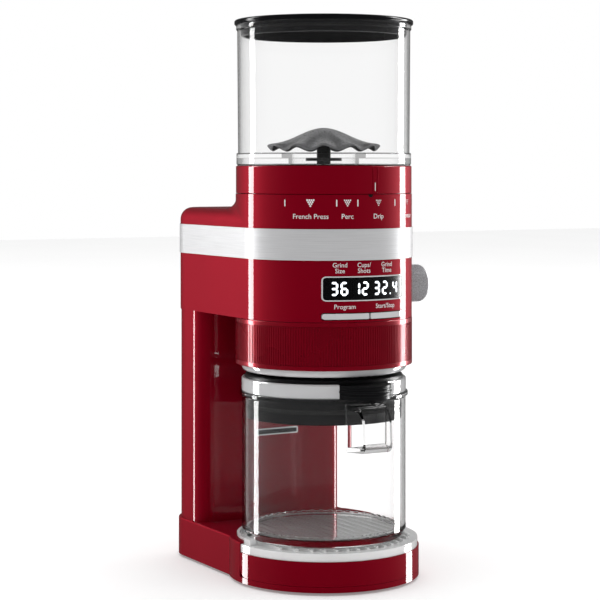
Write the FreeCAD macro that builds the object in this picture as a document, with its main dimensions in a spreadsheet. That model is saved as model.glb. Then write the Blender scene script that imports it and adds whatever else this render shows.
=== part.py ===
import FreeCAD, Part
import math
import os
import Sketcher

# Burr coffee grinder, millimetres, +Z up, front towards -Y. Every piece is drawn about the drum's
# upright axis with the floor at zero, and then set back so that the origin is the middle of the
# footprint box.

SIZES = {
    # casing in plan: a round nose about the drum axis, and a block behind it
    "drum_radius": 63.5,
    "head_half_width": 62.3,
    "head_rear": 127.0,
    "rear_corner": 25.0,
    "shell_wall": 3.0,
    "floor_wall": 1.5,
    # heights above the floor
    "foot_height": 2.0,
    "base_top": 30.0,
    "head_bottom": 187.0,
    "band_bottom": 229.6,
    "band_height": 21.6,
    "deck_rise": 12.5,
    "neck_rise": 23.8,
    # base
    "base_nose_radius": 68.5,
    "base_half_width": 63.5,
    "base_rear": 128.0,
    "ledge_height": 4.0,
    "base_edge": 1.2,
    "foot_radius": 8.0,
    # column
    "column_half_width": 61.8,
    "column_front": 76.0,
    "column_corner": 12.0,
    "cover_half_width": 34.0,
    "cover_low": 42.0,
    "cover_high": 178.0,
    "cover_thickness": 1.5,
    "cover_lip": 5.0,
    "dock_half_width": 20.0,
    "dock_low": 39.0,
    "dock_high": 97.0,
    "dock_thickness": 1.0,
    "slot_height": 5.0,
    # head
    "deck_round": 9.0,
    "neck_fillet": 11.0,
    "band_thickness": 2.0,
    "band_proud": 0.6,
    "display_half_width": 33.4,
    "display_low": 201.4,
    "display_high": 218.8,
    "display_corner": 3.0,
    "bezel_width": 0.9,
    "lens_thickness": 1.8,
    "button_low": 189.0,
    "button_height": 4.0,
    "button_reach": 33.0,
    "button_gap": 1.4,
    "button_proud": 0.3,
    "button_travel": 1.2,
    "board_front": 47.0,
    "board_thickness": 1.6,
    "switch_depth": 3.4,
    # ribbed ring and outlet
    "ring_bottom": 153.4,
    "ring_rim": 3.2,
    "ring_groove": 0.5,
    "outlet_radius": 59.5,
    "outlet_drop": 5.2,
    # drive
    "tooth_module": 1.0,
    "main_teeth": 56.0,
    "idler_teeth": 53.0,
    "pinion_teeth": 14.0,
    "gear_width": 8.0,
    "gear_low": 196.0,
    "plate_thickness": 3.0,
    "plate_low": 190.0,
    "plate_gap": 14.0,
    "shaft_radius": 5.0,
    "bearing_radius": 9.0,
    "motor_radius": 28.0,
    "motor_height": 43.0,
    "motor_shaft_radius": 2.5,
    "running_gap": 0.05,
    # burrs
    "chamber_radius": 37.0,
    "chamber_wall": 3.0,
    "chamber_floor": 226.0,
    "chamber_top": 262.0,
    "cone_radius": 20.0,
    "cone_top_radius": 9.0,
    "burr_low": 236.0,
    "cone_height": 26.0,
    "burr_gap": 1.0,
    "ring_burr_radius": 29.0,
    "ring_burr_height": 18.0,
    "carrier_gap": 0.3,
    # chute
    "chute_front": 44.0,
    "chute_depth": 13.0,
    "chute_mouth": 24.0,
    "chute_half_width": 12.5,
    "chute_wall": 1.5,
    # collar
    "collar_radius": 63.3,
    "collar_height": 20.0,
    "collar_gap": 0.3,
    "hub_radius": 48.0,
    "bayonet_radius": 59.5,
    "throat_radius": 26.0,
    # hopper
    "hopper_radius": 62.4,
    "hopper_wall": 2.0,
    "hopper_top": 396.0,
    "flange_radius": 62.9,
    "flange_height": 8.2,
    "seal_thickness": 0.8,
    "hopper_floor": 3.5,
    "bond_gap": 0.02,
    "spout_radius": 25.4,
    "spout_wall": 2.4,
    "umbrella_radius": 41.4,
    "umbrella_rise": 18.5,
    "umbrella_foot": 3.0,
    "stem_radius": 5.0,
    "lid_radius": 64.5,
    "lid_thickness": 3.6,
    "lid_plug_depth": 8.0,
    "lid_gap": 0.6,
    # knob
    "knob_height": 208.0,
    "knob_radius": 13.4,
    "knob_reach": 82.5,
    "knob_stand_off": 1.2,
    "knob_shaft_radius": 3.0,
    # tray
    "tray_radius": 67.5,
    "tray_rear_radius": 62.5,
    "tray_low": 23.1,
    "tray_height": 5.6,
    "tray_back_rise": 2.6,
    "tray_ring": 7.0,
    "tray_rib_pitch": 7.5,
    "lug_width": 4.5,
    # jar and its lid
    "jar_radius": 59.0,
    "jar_rim_radius": 60.6,
    "jar_wall": 2.6,
    "jar_top": 133.6,
    "jar_gap": 0.2,
    "handle_reach": 76.0,
    "handle_low": 97.0,
    "handle_high": 129.7,
    "handle_width": 31.0,
    "handle_front_width": 21.5,
    "handle_low_corner": 6.0,
    "handle_high_corner": 14.0,
    "handle_wall": 3.4,
    "plug_depth": 18.6,
    "plug_gap": 0.4,
    "cap_height": 12.6,
    "cap_band_height": 9.9,
    "lip_radius": 19.5,
    "lip_centre": 54.5,
    "lip_height": 9.4,
}

SCREW_RADIUS = 1.5

doc = FreeCAD.newDocument("burr_coffee_grinder")
sheet = doc.addObject("Spreadsheet::Sheet", "dim")
for row, (alias, amount) in enumerate(SIZES.items(), start=1):
    sheet.set(f"A{row}", alias)
    sheet.set(f"B{row}", str(amount))
    sheet.setAlias(f"B{row}", alias)
doc.recompute()


def size(expression):
    """The number that an expression of sheet cells gives."""
    return float(sheet.evalExpression(expression.replace("dim.", "")))


# Levels and places that follow from the driving sizes.
BAND_TOP = "(dim.band_bottom + dim.band_height)"
DECK_TOP = "(dim.band_bottom + dim.band_height + dim.deck_rise)"
NECK_TOP = "(dim.band_bottom + dim.band_height + dim.neck_rise)"
COLLAR_LOW = "(dim.band_bottom + dim.band_height + dim.neck_rise + dim.collar_gap)"
COLLAR_TOP = "(dim.band_bottom + dim.band_height + dim.neck_rise + dim.collar_height)"
COLLAR_BORE = "(dim.collar_radius - dim.shell_wall)"
HOPPER_LOW = "(dim.band_bottom + dim.band_height + dim.neck_rise + dim.collar_height + dim.seal_thickness)"
FLANGE_TOP = "(dim.band_bottom + dim.band_height + dim.neck_rise + dim.collar_height" \
             " + dim.seal_thickness + dim.flange_height)"
HOPPER_BORE = "(dim.hopper_radius - dim.hopper_wall)"
UMBRELLA_TOP = f"({FLANGE_TOP} + dim.umbrella_rise)"
COLUMN_REAR_CORNER = "min(dim.rear_corner; (dim.head_rear - dim.column_front) / 2)"
BAYONET_LOW = "(dim.band_bottom + dim.band_height + dim.neck_rise + dim.collar_height * 0.45 + 0.3)"
GATE_LOW = "(dim.band_bottom + dim.band_height + dim.neck_rise + dim.collar_height * 0.55)"
LEDGE_TOP = "(dim.foot_height + dim.ledge_height)"
GLAND_HEIGHT = "(dim.foot_height + 8.3)"
PLATE_TOP = "(dim.plate_low + dim.plate_thickness)"
COVER_PLATE_LOW = "(dim.plate_low + dim.plate_thickness + dim.plate_gap)"
COVER_PLATE_TOP = "(dim.plate_low + 2 * dim.plate_thickness + dim.plate_gap)"
MOTOR_CAN_LOW = "(dim.plate_low + 3 * dim.plate_thickness + dim.plate_gap)"
MOTOR_Y = "((dim.main_teeth + 2 * dim.idler_teeth + dim.pinion_teeth) * dim.tooth_module / 2)"
IDLER_Y = "((dim.main_teeth + dim.idler_teeth) * dim.tooth_module / 2)"
TRAY_TOP = "(dim.tray_low + dim.tray_height)"
JAR_LOW = "(dim.base_top + dim.jar_gap)"
JAR_BORE = "(dim.jar_radius - dim.jar_wall)"
CAP_LOW = "(dim.jar_top + 0.1)"
CAP_TOP = "(dim.jar_top + dim.cap_height)"
CHUTE_REAR = "(dim.chute_front - dim.chute_depth)"
MOUTH_REAR = "(dim.chute_front - dim.chute_mouth)"
BURR_CLEAR = "(dim.burr_low + 4)"

# The whole grinder moves back so that the origin is the centre of its footprint box.
SHIFT_X = "(dim.base_nose_radius - dim.knob_reach) / 2"
SHIFT_Y = "(dim.handle_reach - dim.base_rear) / 2"

nodes = {}


def keep(obj, label, x="0", y="0", z="0"):
    """Name a finished piece and set its place."""
    obj.Label = label
    obj.setExpression("Placement.Base.x", f"{SHIFT_X} + {x}")
    obj.setExpression("Placement.Base.y", f"{SHIFT_Y} + {y}")
    obj.setExpression("Placement.Base.z", z)
    nodes[label] = obj
    return obj


def keep_rod(obj, label, low, y="0"):
    """Keep an upright rod that starts at a height."""
    return keep(obj, label, y=y, z=low)


def new_body(label):
    return doc.addObject("PartDesign::Body", label + "_body")


def new_sketch(body, name, plane, lift=None):
    """A sketch on one of the body's own planes, lifted along the plane's normal."""
    sketch = body.newObject("Sketcher::SketchObject", f"{body.Name}_{name}")
    origin_plane = [item for item in body.Origin.OriginFeatures if item.Role == plane + "_Plane"][0]
    sketch.AttachmentSupport = [(origin_plane, "")]
    sketch.MapMode = "FlatFace"
    if lift:
        sketch.setExpression("AttachmentOffset.Base.z", lift)
    return sketch


def pin_down(sketch, geo, end, across, up):
    """Hold a point at two distances from the sketch's origin."""
    spot = size(across), size(up)
    for kind, rule, amount in (("DistanceX", across, spot[0]), ("DistanceY", up, spot[1])):
        index = sketch.addConstraint(Sketcher.Constraint(kind, -1, 1, geo, end, amount))
        sketch.setExpression(f"Constraints[{index}]", rule)


def vector(point):
    return FreeCAD.Vector(point[0], point[1], 0)


def toward(start, goal, distance):
    """The point at a distance from start on the way to goal."""
    span = math.hypot(goal[0] - start[0], goal[1] - start[1])
    share = distance / span
    return start[0] + (goal[0] - start[0]) * share, start[1] + (goal[1] - start[1]) * share


def outline(body, name, plane, corners, lift=None, nose=None):
    """A closed sketch through corners, each (across, up) or (across, up, rounding). With a nose, the
    last corner joins the first by an arc of that radius about the origin, tangent to both sides."""
    sketch = new_sketch(body, name, plane, lift)
    spots = [(size(corner[0]), size(corner[1])) for corner in corners]
    rounds = [size(corner[2]) if len(corner) > 2 else 0.0 for corner in corners]
    count = len(corners)
    trims = []
    for i, spot in enumerate(spots):
        before = spots[i - 1]
        after = spots[(i + 1) % count]
        if nose and i == 0:
            before = nose_end(spot, size(nose), 1)
        if nose and i == count - 1:
            after = nose_end(spot, size(nose), -1)
        ways = [math.atan2(p[1] - spot[1], p[0] - spot[0]) for p in (before, after)]
        opening = abs((ways[0] - ways[1] + math.pi) % (2 * math.pi) - math.pi)
        trims.append(rounds[i] / math.tan(opening / 2) if rounds[i] else 0.0)
    lines = []
    for i in range(count if not nose else count + 1):
        first = (i - 1) % count if nose else i
        start = spots[first]
        goal = spots[i % count] if nose else spots[(i + 1) % count]
        head = trims[first]
        tail = trims[i % count] if nose else trims[(i + 1) % count]
        if nose and i == 0:
            start, head = nose_end(goal, size(nose), 1), 0.0
        if nose and i == count:
            start, head = spots[-1], trims[-1]
            goal, tail = nose_end(start, size(nose), -1), 0.0
        begin = toward(start, goal, head)
        end = toward(goal, start, tail)
        lines.append(sketch.addGeometry(Part.LineSegment(vector(begin), vector(end)), False))
    for i, corner in enumerate(corners):
        arriving = lines[i] if nose else lines[i - 1]
        leaving = lines[i + 1] if nose else lines[i]
        if not rounds[i]:
            sketch.addConstraint(Sketcher.Constraint("Coincident", arriving, 2, leaving, 1))
            pin_down(sketch, leaving, 1, corner[0], corner[1])
            continue
        begin = sketch.getPoint(arriving, 2)
        end = sketch.getPoint(leaving, 1)
        spot = vector(spots[i])
        middle = begin.add(end).multiply(0.5)
        inward = middle.sub(spot).normalize()
        hub = math.hypot(trims[i], rounds[i])
        centre = spot.add(FreeCAD.Vector(inward.x * hub, inward.y * hub, 0))
        angles = [math.atan2(p.y - centre.y, p.x - centre.x) for p in (begin, end)]
        turn = (angles[1] - angles[0] + math.pi) % (2 * math.pi) - math.pi
        low, high = (angles[0], angles[1]) if turn > 0 else (angles[1], angles[0])
        circle = Part.Circle(centre, FreeCAD.Vector(0, 0, 1), rounds[i])
        arc = sketch.addGeometry(Part.ArcOfCircle(circle, low, high), False)
        ends = (1, 2) if turn > 0 else (2, 1)
        sketch.addConstraint(Sketcher.Constraint("Tangent", arriving, 2, arc, ends[0]))
        sketch.addConstraint(Sketcher.Constraint("Tangent", leaving, 1, arc, ends[1]))
        index = sketch.addConstraint(Sketcher.Constraint("Radius", arc, rounds[i]))
        sketch.setExpression(f"Constraints[{index}]", corner[2])
        mark = sketch.addGeometry(Part.Point(spot), True)
        sketch.addConstraint(Sketcher.Constraint("PointOnObject", mark, 1, arriving))
        sketch.addConstraint(Sketcher.Constraint("PointOnObject", mark, 1, leaving))
        pin_down(sketch, mark, 1, corner[0], corner[1])
    if nose:
        begin = sketch.getPoint(lines[-1], 2)
        end = sketch.getPoint(lines[0], 1)
        low = math.atan2(begin.y, begin.x)
        high = math.atan2(end.y, end.x)
        circle = Part.Circle(FreeCAD.Vector(0, 0, 0), FreeCAD.Vector(0, 0, 1), size(nose))
        arc = sketch.addGeometry(Part.ArcOfCircle(circle, low, high), False)
        sketch.addConstraint(Sketcher.Constraint("Coincident", arc, 3, -1, 1))
        sketch.addConstraint(Sketcher.Constraint("Tangent", lines[-1], 2, arc, 1))
        sketch.addConstraint(Sketcher.Constraint("Tangent", lines[0], 1, arc, 2))
        index = sketch.addConstraint(Sketcher.Constraint("Radius", arc, size(nose)))
        sketch.setExpression(f"Constraints[{index}]", nose)
    return sketch


def nose_end(corner, radius, side):
    """Where the side wall through a rear corner touches the nose, on the +X side or the -X side."""
    reach = math.hypot(corner[0], corner[1])
    angle = math.atan2(corner[1], corner[0]) - side * math.acos(radius / reach)
    return radius * math.cos(angle), radius * math.sin(angle)


def rounds_of(half_width, rear, corner):
    """The two rear corners of a casing outline."""
    return [(half_width, rear, corner), (f"-({half_width})", rear, corner)]


def circles(body, name, plane, spots, lift=None):
    """A sketch of circles, each (across, up, radius)."""
    sketch = new_sketch(body, name, plane, lift)
    for across, up, radius in spots:
        centre = FreeCAD.Vector(size(across), size(up), 0)
        circle = Part.Circle(centre, FreeCAD.Vector(0, 0, 1), size(radius))
        geo = sketch.addGeometry(circle, False)
        pin_down(sketch, geo, 3, across, up)
        index = sketch.addConstraint(Sketcher.Constraint("Radius", geo, size(radius)))
        sketch.setExpression(f"Constraints[{index}]", radius)
    return sketch


def pad(body, sketch, length, both_ways=False, back=False):
    feature = body.newObject("PartDesign::Pad", sketch.Name + "_pad")
    feature.Profile = sketch
    feature.setExpression("Length", length)
    feature.Midplane = both_ways
    feature.Reversed = back
    sketch.Visibility = False
    body.Tip = feature
    return feature


def pocket(body, sketch, length, both_ways=False, forward=True):
    """Cut along the sketch plane's own normal, or against it, and see that it did cut."""
    doc.recompute()
    before = body.Shape.Volume
    feature = body.newObject("PartDesign::Pocket", sketch.Name + "_pocket")
    feature.Profile = sketch
    feature.setExpression("Length", length)
    feature.Midplane = both_ways
    feature.Reversed = forward
    body.Tip = feature
    doc.recompute()
    if not body.Shape.Volume < before - 0.01:
        raise RuntimeError(f"{feature.Name} removes nothing")
    return feature


def revolve(body, sketch, axis="V_Axis"):
    feature = body.newObject("PartDesign::Revolution", sketch.Name + "_turned")
    feature.Profile = sketch
    feature.ReferenceAxis = (sketch, [axis])
    feature.Angle = 360
    body.Tip = feature
    return feature


def groove(body, sketch, axis="V_Axis"):
    doc.recompute()
    before = body.Shape.Volume
    feature = body.newObject("PartDesign::Groove", sketch.Name + "_groove")
    feature.Profile = sketch
    feature.ReferenceAxis = (sketch, [axis])
    feature.Angle = 360
    body.Tip = feature
    doc.recompute()
    if not body.Shape.Volume < before - 0.01:
        raise RuntimeError(f"{feature.Name} removes nothing")
    return feature


def around(body, feature, count):
    """Repeat a feature around the body's Z axis."""
    pattern = body.newObject("PartDesign::PolarPattern", feature.Name + "_around")
    axis = [item for item in body.Origin.OriginFeatures if item.Role == "Z_Axis"][0]
    pattern.Originals = [feature]
    pattern.Axis = (axis, [""])
    pattern.Angle = 360
    pattern.Occurrences = count
    body.Tip = pattern
    return pattern


def round_edges(body, radius, pick):
    """Round the edges of the body so far that pick chooses."""
    doc.recompute()
    base = body.Tip
    names = [f"Edge{i + 1}" for i, edge in enumerate(base.Shape.Edges) if pick(edge)]
    feature = body.newObject("PartDesign::Fillet", f"{base.Name}_round")
    feature.Base = (base, names)
    feature.setExpression("Radius", radius)
    body.Tip = feature
    return feature


def level(height):
    """Chooses the edges that lie flat at a height."""
    z = size(height)
    return lambda edge: abs(edge.BoundBox.ZMin - z) < 0.001 and abs(edge.BoundBox.ZMax - z) < 0.001


def turned(label, profile, x="0", y="0", z="0"):
    """A piece turned about the upright axis from its half section."""
    body = new_body(label)
    revolve(body, outline(body, "section", "XZ", profile))
    return keep(body, label, x, y, z)


def casing(body, name, low, high, nose, half_width, rear, corner):
    """A block with the casing's plan between two heights."""
    sketch = outline(body, name, "XY", rounds_of(half_width, rear, corner), lift=low, nose=nose)
    return pad(body, sketch, f"{high} - ({low})")


def casing_cut(body, name, low, high, nose, half_width, rear, corner):
    sketch = outline(body, name, "XY", rounds_of(half_width, rear, corner), lift=low, nose=nose)
    return pocket(body, sketch, f"{high} - ({low})")


def rectangle(x_low, x_high, y_low, y_high, corner=None):
    spots = [(x_low, y_low), (x_high, y_low), (x_high, y_high), (x_low, y_high)]
    return [(x, y, corner) if corner else (x, y) for x, y in spots]


def box(name, x_low, x_high, y_low, y_high, z_low, z_high):
    """A Part box between two corners."""
    item = doc.addObject("Part::Box", name)
    for side, axis, low, high in (
        ("Length", "x", x_low, x_high),
        ("Width", "y", y_low, y_high),
        ("Height", "z", z_low, z_high),
    ):
        item.setExpression(side, f"{high} - ({low})")
        item.setExpression(f"Placement.Base.{axis}", low)
    return item


def cylinder(name, radius, low, high, x="0", y="0"):
    """An upright Part cylinder."""
    item = doc.addObject("Part::Cylinder", name)
    item.setExpression("Radius", radius)
    item.setExpression("Height", f"{high} - ({low})")
    item.setExpression("Placement.Base.x", x)
    item.setExpression("Placement.Base.y", y)
    item.setExpression("Placement.Base.z", low)
    return item


def joined(name, items):
    whole = doc.addObject("Part::MultiFuse", name)
    whole.Shapes = items
    return whole


def removed(name, base, tool):
    rest = doc.addObject("Part::Cut", name)
    rest.Base = base
    rest.Tool = tool
    return rest


def shared(name, first, second):
    both = doc.addObject("Part::Common", name)
    both.Base = first
    both.Tool = second
    return both


def loose_group(name, items):
    """Separate like solids in one piece."""
    group = doc.addObject("Part::Compound", name)
    group.Links = items
    return group


# ---- base ----------------------------------------------------------------------------------------

def base_screw_spots():
    """The four screws that hold the base plate to its bosses."""
    side = "(dim.base_half_width - dim.shell_wall - 10)"
    return [(sx + side, y) for sx in ("", "-") for y in ("20", "(dim.base_rear - 22)")]


def make_base_housing():
    """Painted base: rear block, round front ledge and a round recess for the tray."""
    body = new_body("base_housing")
    casing(body, "block", "dim.foot_height", "dim.base_top",
           "dim.base_half_width", "dim.base_half_width", "dim.base_rear", "dim.rear_corner")
    disc = circles(body, "nose", "XY", [("0", "0", "dim.base_nose_radius")], "dim.foot_height")
    pad(body, disc, "dim.base_top - dim.foot_height")
    round_edges(body, "dim.base_edge", level("dim.base_top"))
    step = rectangle("-dim.base_nose_radius - 5", "dim.base_nose_radius + 5",
                     "-dim.base_nose_radius - 5", "0")
    pocket(body, outline(body, "front_step", "XY", step, LEDGE_TOP), "dim.base_top")
    recess = circles(body, "recess", "XY", [("0", "0", "dim.tray_rear_radius + dim.carrier_gap")],
                     "dim.tray_low - dim.carrier_gap")
    pocket(body, recess, "dim.base_top")
    inner = "dim.base_half_width - dim.shell_wall"
    casing_cut(body, "plate_seat", "dim.foot_height", "dim.foot_height + dim.floor_wall",
               inner, inner, "dim.base_rear - dim.shell_wall", "dim.rear_corner - dim.shell_wall")
    low = "dim.foot_height + dim.floor_wall"
    back = "dim.base_rear - dim.shell_wall"
    turn = "dim.rear_corner - dim.shell_wall"
    hollow = [(f"-({inner})", "dim.shell_wall", "dim.shell_wall"), (inner, "dim.shell_wall",
            "dim.shell_wall"),
              (inner, back, turn), (f"-({inner})", back, turn)]
    pocket(body, outline(body, "hollow", "XY", hollow, low),
           f"dim.tray_low - 2 * dim.shell_wall - ({low})")
    cable = rectangle("-dim.column_half_width / 2", "dim.column_half_width / 2",
                      "dim.column_front + 2 * dim.column_corner",
                      "dim.base_rear - 2 * dim.shell_wall")
    pocket(body, outline(body, "cable_way", "XY", cable, low), "dim.base_top")
    bosses = [(x, y, "4") for x, y in base_screw_spots()]
    pad(body, circles(body, "bosses", "XY", bosses, low), f"dim.tray_low - ({low}) - 2")
    gland = circles(body, "gland_hole", "XZ", [("0", GLAND_HEIGHT, "5")])
    pocket(body, gland, "dim.base_rear + 10", forward=False)
    keep(body, "base_housing")


def make_base_plate():
    body = new_body("base_plate")
    inner = "dim.base_half_width - dim.shell_wall - dim.carrier_gap"
    casing(body, "plate", "dim.foot_height", "dim.foot_height + dim.floor_wall", inner, inner,
           "dim.base_rear - dim.shell_wall - dim.carrier_gap", "dim.rear_corner - dim.shell_wall")
    holes = [(x, y, str(SCREW_RADIUS + 0.1)) for x, y in base_screw_spots()]
    pocket(body, circles(body, "screw_holes", "XY", holes, "dim.foot_height - 1"), "dim.floor_wall + 2")
    keep(body, "base_plate")


def make_feet():
    spots = [("0", "-44"), ("-44", "10"), ("44", "10"), ("-40", "dim.base_rear - 26"),
             ("40", "dim.base_rear - 26")]
    feet = [cylinder(f"foot_{i}", "dim.foot_radius", "0", "dim.foot_height", x, y)
            for i, (x, y) in enumerate(spots)]
    keep(loose_group("rubber_feet_group", feet), "rubber_feet")


def make_screws():
    """Base plate screws from below and rear cover screws from behind."""
    screws = []
    for i, (x, y) in enumerate(base_screw_spots()):
        name = f"base_screw_{i}"
        shank = cylinder(name + "_shank", str(SCREW_RADIUS), "dim.foot_height", "dim.foot_height + 9", x, y)
        head = cylinder(name + "_head", str(2 * SCREW_RADIUS), "dim.foot_height - 1.2",
                        "dim.foot_height", x, y)
        screws.append(joined(name, [shank, head]))
    for sx in ("", "-"):
        for i, z in enumerate(("(dim.cover_low + 2.5)", "(dim.cover_high - 2.5)")):
            name = f"cover_screw{sx.replace('-', '_left')}_{i}"
            x = f"{sx}(dim.cover_half_width - 2.5)"
            shank = doc.addObject("Part::Cylinder", name + "_shank")
            head = doc.addObject("Part::Cylinder", name + "_head")
            for part, radius, front, rear in (
                (shank, str(SCREW_RADIUS), "dim.head_rear - 8", "dim.head_rear - 0.6"),
                (head, str(2 * SCREW_RADIUS), "dim.head_rear - 0.6", "dim.head_rear + 0.6"),
            ):
                part.Placement.Rotation = FreeCAD.Rotation(FreeCAD.Vector(1, 0, 0), -90)
                part.setExpression("Radius", radius)
                part.setExpression("Height", f"{rear} - ({front})")
                part.setExpression("Placement.Base.x", x)
                part.setExpression("Placement.Base.y", front)
                part.setExpression("Placement.Base.z", z)
            screws.append(joined(name, [shank, head]))
    keep(loose_group("case_screws_group", screws), "case_screws")


def make_cable_gland():
    """Rubber inlet bush through the base's rear wall."""
    body = new_body("cable_gland")
    z = GLAND_HEIGHT
    pad(body, circles(body, "neck", "XZ", [("0", z, "4.9")], "-dim.base_rear"), "8")
    pad(body, circles(body, "flange", "XZ", [("0", z, "6")], "-dim.base_rear + dim.shell_wall"), "2")
    pocket(body, circles(body, "bore", "XZ", [("0", z, "3.2")], "-dim.base_rear - 1"), "20")
    keep(body, "cable_gland")


# ---- column --------------------------------------------------------------------------------------

def make_column():
    """Rear column between base and head, with a seat for the rear cover."""
    body = new_body("column_housing")

    def ring(inset):
        side = f"dim.column_half_width - {inset}"
        front = f"dim.column_front + {inset}"
        rear = f"dim.head_rear - {inset}"
        return [(f"-({side})", front, f"dim.column_corner - {inset}"),
                (side, front, f"dim.column_corner - {inset}"),
                (side, rear, f"{COLUMN_REAR_CORNER} - {inset}"),
                (f"-({side})", rear, f"{COLUMN_REAR_CORNER} - {inset}")]

    tall = "dim.head_bottom - dim.base_top"
    pad(body, outline(body, "outer", "XY", ring("0"), "dim.base_top"), tall)
    pocket(body, outline(body, "inner", "XY", ring("dim.shell_wall"), "dim.base_top"), tall)
    seat = rectangle("-dim.cover_half_width - dim.carrier_gap", "dim.cover_half_width + dim.carrier_gap",
                     "dim.cover_low - dim.carrier_gap", "dim.cover_high + dim.carrier_gap", "4")
    pocket(body, outline(body, "seat", "XZ", seat, "-dim.head_rear"), "dim.cover_thickness")
    mouth = rectangle("-dim.cover_half_width + dim.cover_lip", "dim.cover_half_width - dim.cover_lip",
                      "dim.cover_low + dim.cover_lip", "dim.cover_high - dim.cover_lip", "3")
    pocket(body, outline(body, "mouth", "XZ", mouth, "-dim.head_rear"), "2 * dim.shell_wall")
    keep(body, "column_housing")


def make_rear_cover():
    body = new_body("rear_cover")
    face = rectangle("-dim.cover_half_width", "dim.cover_half_width", "dim.cover_low",
                     "dim.cover_high", "4")
    pad(body, outline(body, "plate", "XZ", face, "-dim.head_rear"), "dim.cover_thickness")
    rows = 7
    vents = []
    for i in range(rows):
        z = f"dim.cover_low + 14 + {i * 5}"
        vents.append(box(f"vent_{i}", "-20", "20", "dim.head_rear - 5", "dim.head_rear + 5", z, f"{z} + 2"))
    holes = []
    for sx in ("", "-"):
        for z in ("(dim.cover_low + 2.5)", "(dim.cover_high - 2.5)"):
            holes.append((f"{sx}(dim.cover_half_width - 2.5)", z, str(SCREW_RADIUS + 0.1)))
    pocket(body, circles(body, "holes", "XZ", holes, "-dim.head_rear"), "5")
    heads = [(x, z, str(2 * SCREW_RADIUS + 0.2)) for x, z, _ in holes]
    pocket(body, circles(body, "sinks", "XZ", heads, "-dim.head_rear"), "0.6")
    keep(removed("rear_cover_vented", body, joined("vents", vents)), "rear_cover")


def make_dock():
    """Raised plate low on the column's front, with a framed slot along its top."""
    body = new_body("dock_panel")
    face = rectangle("-dim.dock_half_width", "dim.dock_half_width", "dim.dock_low",
                     "dim.dock_high - dim.slot_height", "1")
    pad(body, outline(body, "plate", "XZ", face, "-dim.column_front"), "dim.dock_thickness")
    keep(body, "dock_panel")
    body = new_body("dock_slot_frame")
    low = "dim.dock_high - dim.slot_height"
    face = rectangle("-dim.dock_half_width", "dim.dock_half_width", low, "dim.dock_high", "1")
    pad(body, outline(body, "plate", "XZ", face, "-dim.column_front"), "dim.dock_thickness + 0.4")
    slot = rectangle("-dim.dock_half_width + 1.2", "dim.dock_half_width - 1.2",
                     f"{low} + 1.2", "dim.dock_high - 1.2")
    pocket(body, outline(body, "slot", "XZ", slot, "-dim.column_front + 0.4"), "20")
    keep(body, "dock_slot_frame")


# ---- head ----------------------------------------------------------------------------------------

def button_face(side):
    """Front outline of one button: its outer end is round. side is '' for right, '-' for left."""
    low = "dim.button_low"
    high = "dim.button_low + dim.button_height"
    inner = f"{side}(dim.button_gap / 2)"
    outer = f"{side}(dim.button_reach)"
    end = "dim.button_height * 0.46"
    return [(inner, low, "0.4"), (outer, low, end), (outer, high, end), (inner, high, "0.4")]


def make_head_lower():
    """Lower head shell: display window, button recess, knob hole and an outlet through its floor."""
    body = new_body("head_lower_shell")
    casing(body, "outer", "dim.head_bottom", "dim.band_bottom",
           "dim.drum_radius", "dim.head_half_width", "dim.head_rear", "dim.rear_corner")
    casing_cut(body, "inner", "dim.head_bottom + dim.floor_wall", "dim.band_bottom",
               "dim.drum_radius - dim.shell_wall", "dim.head_half_width - dim.shell_wall",
               "dim.head_rear - dim.shell_wall", "dim.rear_corner - dim.shell_wall")
    window = rectangle("-dim.display_half_width", "dim.display_half_width",
                       "dim.display_low", "dim.display_high", "dim.display_corner")
    pocket(body, outline(body, "window", "XZ", window, "20"), "dim.drum_radius")
    edge = "0.6"
    low = f"dim.button_low - {edge}"
    high = f"dim.button_low + dim.button_height + {edge}"
    slot = rectangle(f"-dim.button_reach - {edge}", f"dim.button_reach + {edge}", low, high,
                     "dim.button_height * 0.46")
    pocket(body, outline(body, "button_slot", "XZ", slot, "20"), "dim.drum_radius")
    hole = circles(body, "knob_hole", "YZ", [("0", "dim.knob_height", "4.6")], "40")
    pocket(body, hole, "dim.drum_radius")
    outlet = rectangle("-dim.chute_half_width - 1", "dim.chute_half_width + 1",
                       "-dim.chute_front - 1", "-dim.chute_front + dim.chute_depth + 1")
    pocket(body, outline(body, "outlet", "XY", outlet, "dim.head_bottom - 1"), "dim.floor_wall + 2")
    wires = rectangle("-30", "30", "dim.column_front + 2 * dim.column_corner", "dim.head_rear - 10")
    pocket(body, outline(body, "wires", "XY", wires, "dim.head_bottom - 1"), "dim.floor_wall + 2")
    keep(body, "head_lower_shell")


def make_band():
    """Brushed band that wraps the head, slightly proud of the paint."""
    body = new_body("metal_band")
    out = "dim.band_proud"
    casing(body, "outer", "dim.band_bottom", BAND_TOP, f"dim.drum_radius + {out}",
           f"dim.head_half_width + {out}", f"dim.head_rear + {out}", f"dim.rear_corner + {out}")
    inset = "(dim.band_thickness - dim.band_proud)"
    casing_cut(body, "inner", "dim.band_bottom", BAND_TOP, f"dim.drum_radius - {inset}",
               f"dim.head_half_width - {inset}", f"dim.head_rear - {inset}", f"dim.rear_corner - {inset}")
    keep(body, "metal_band")


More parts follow.
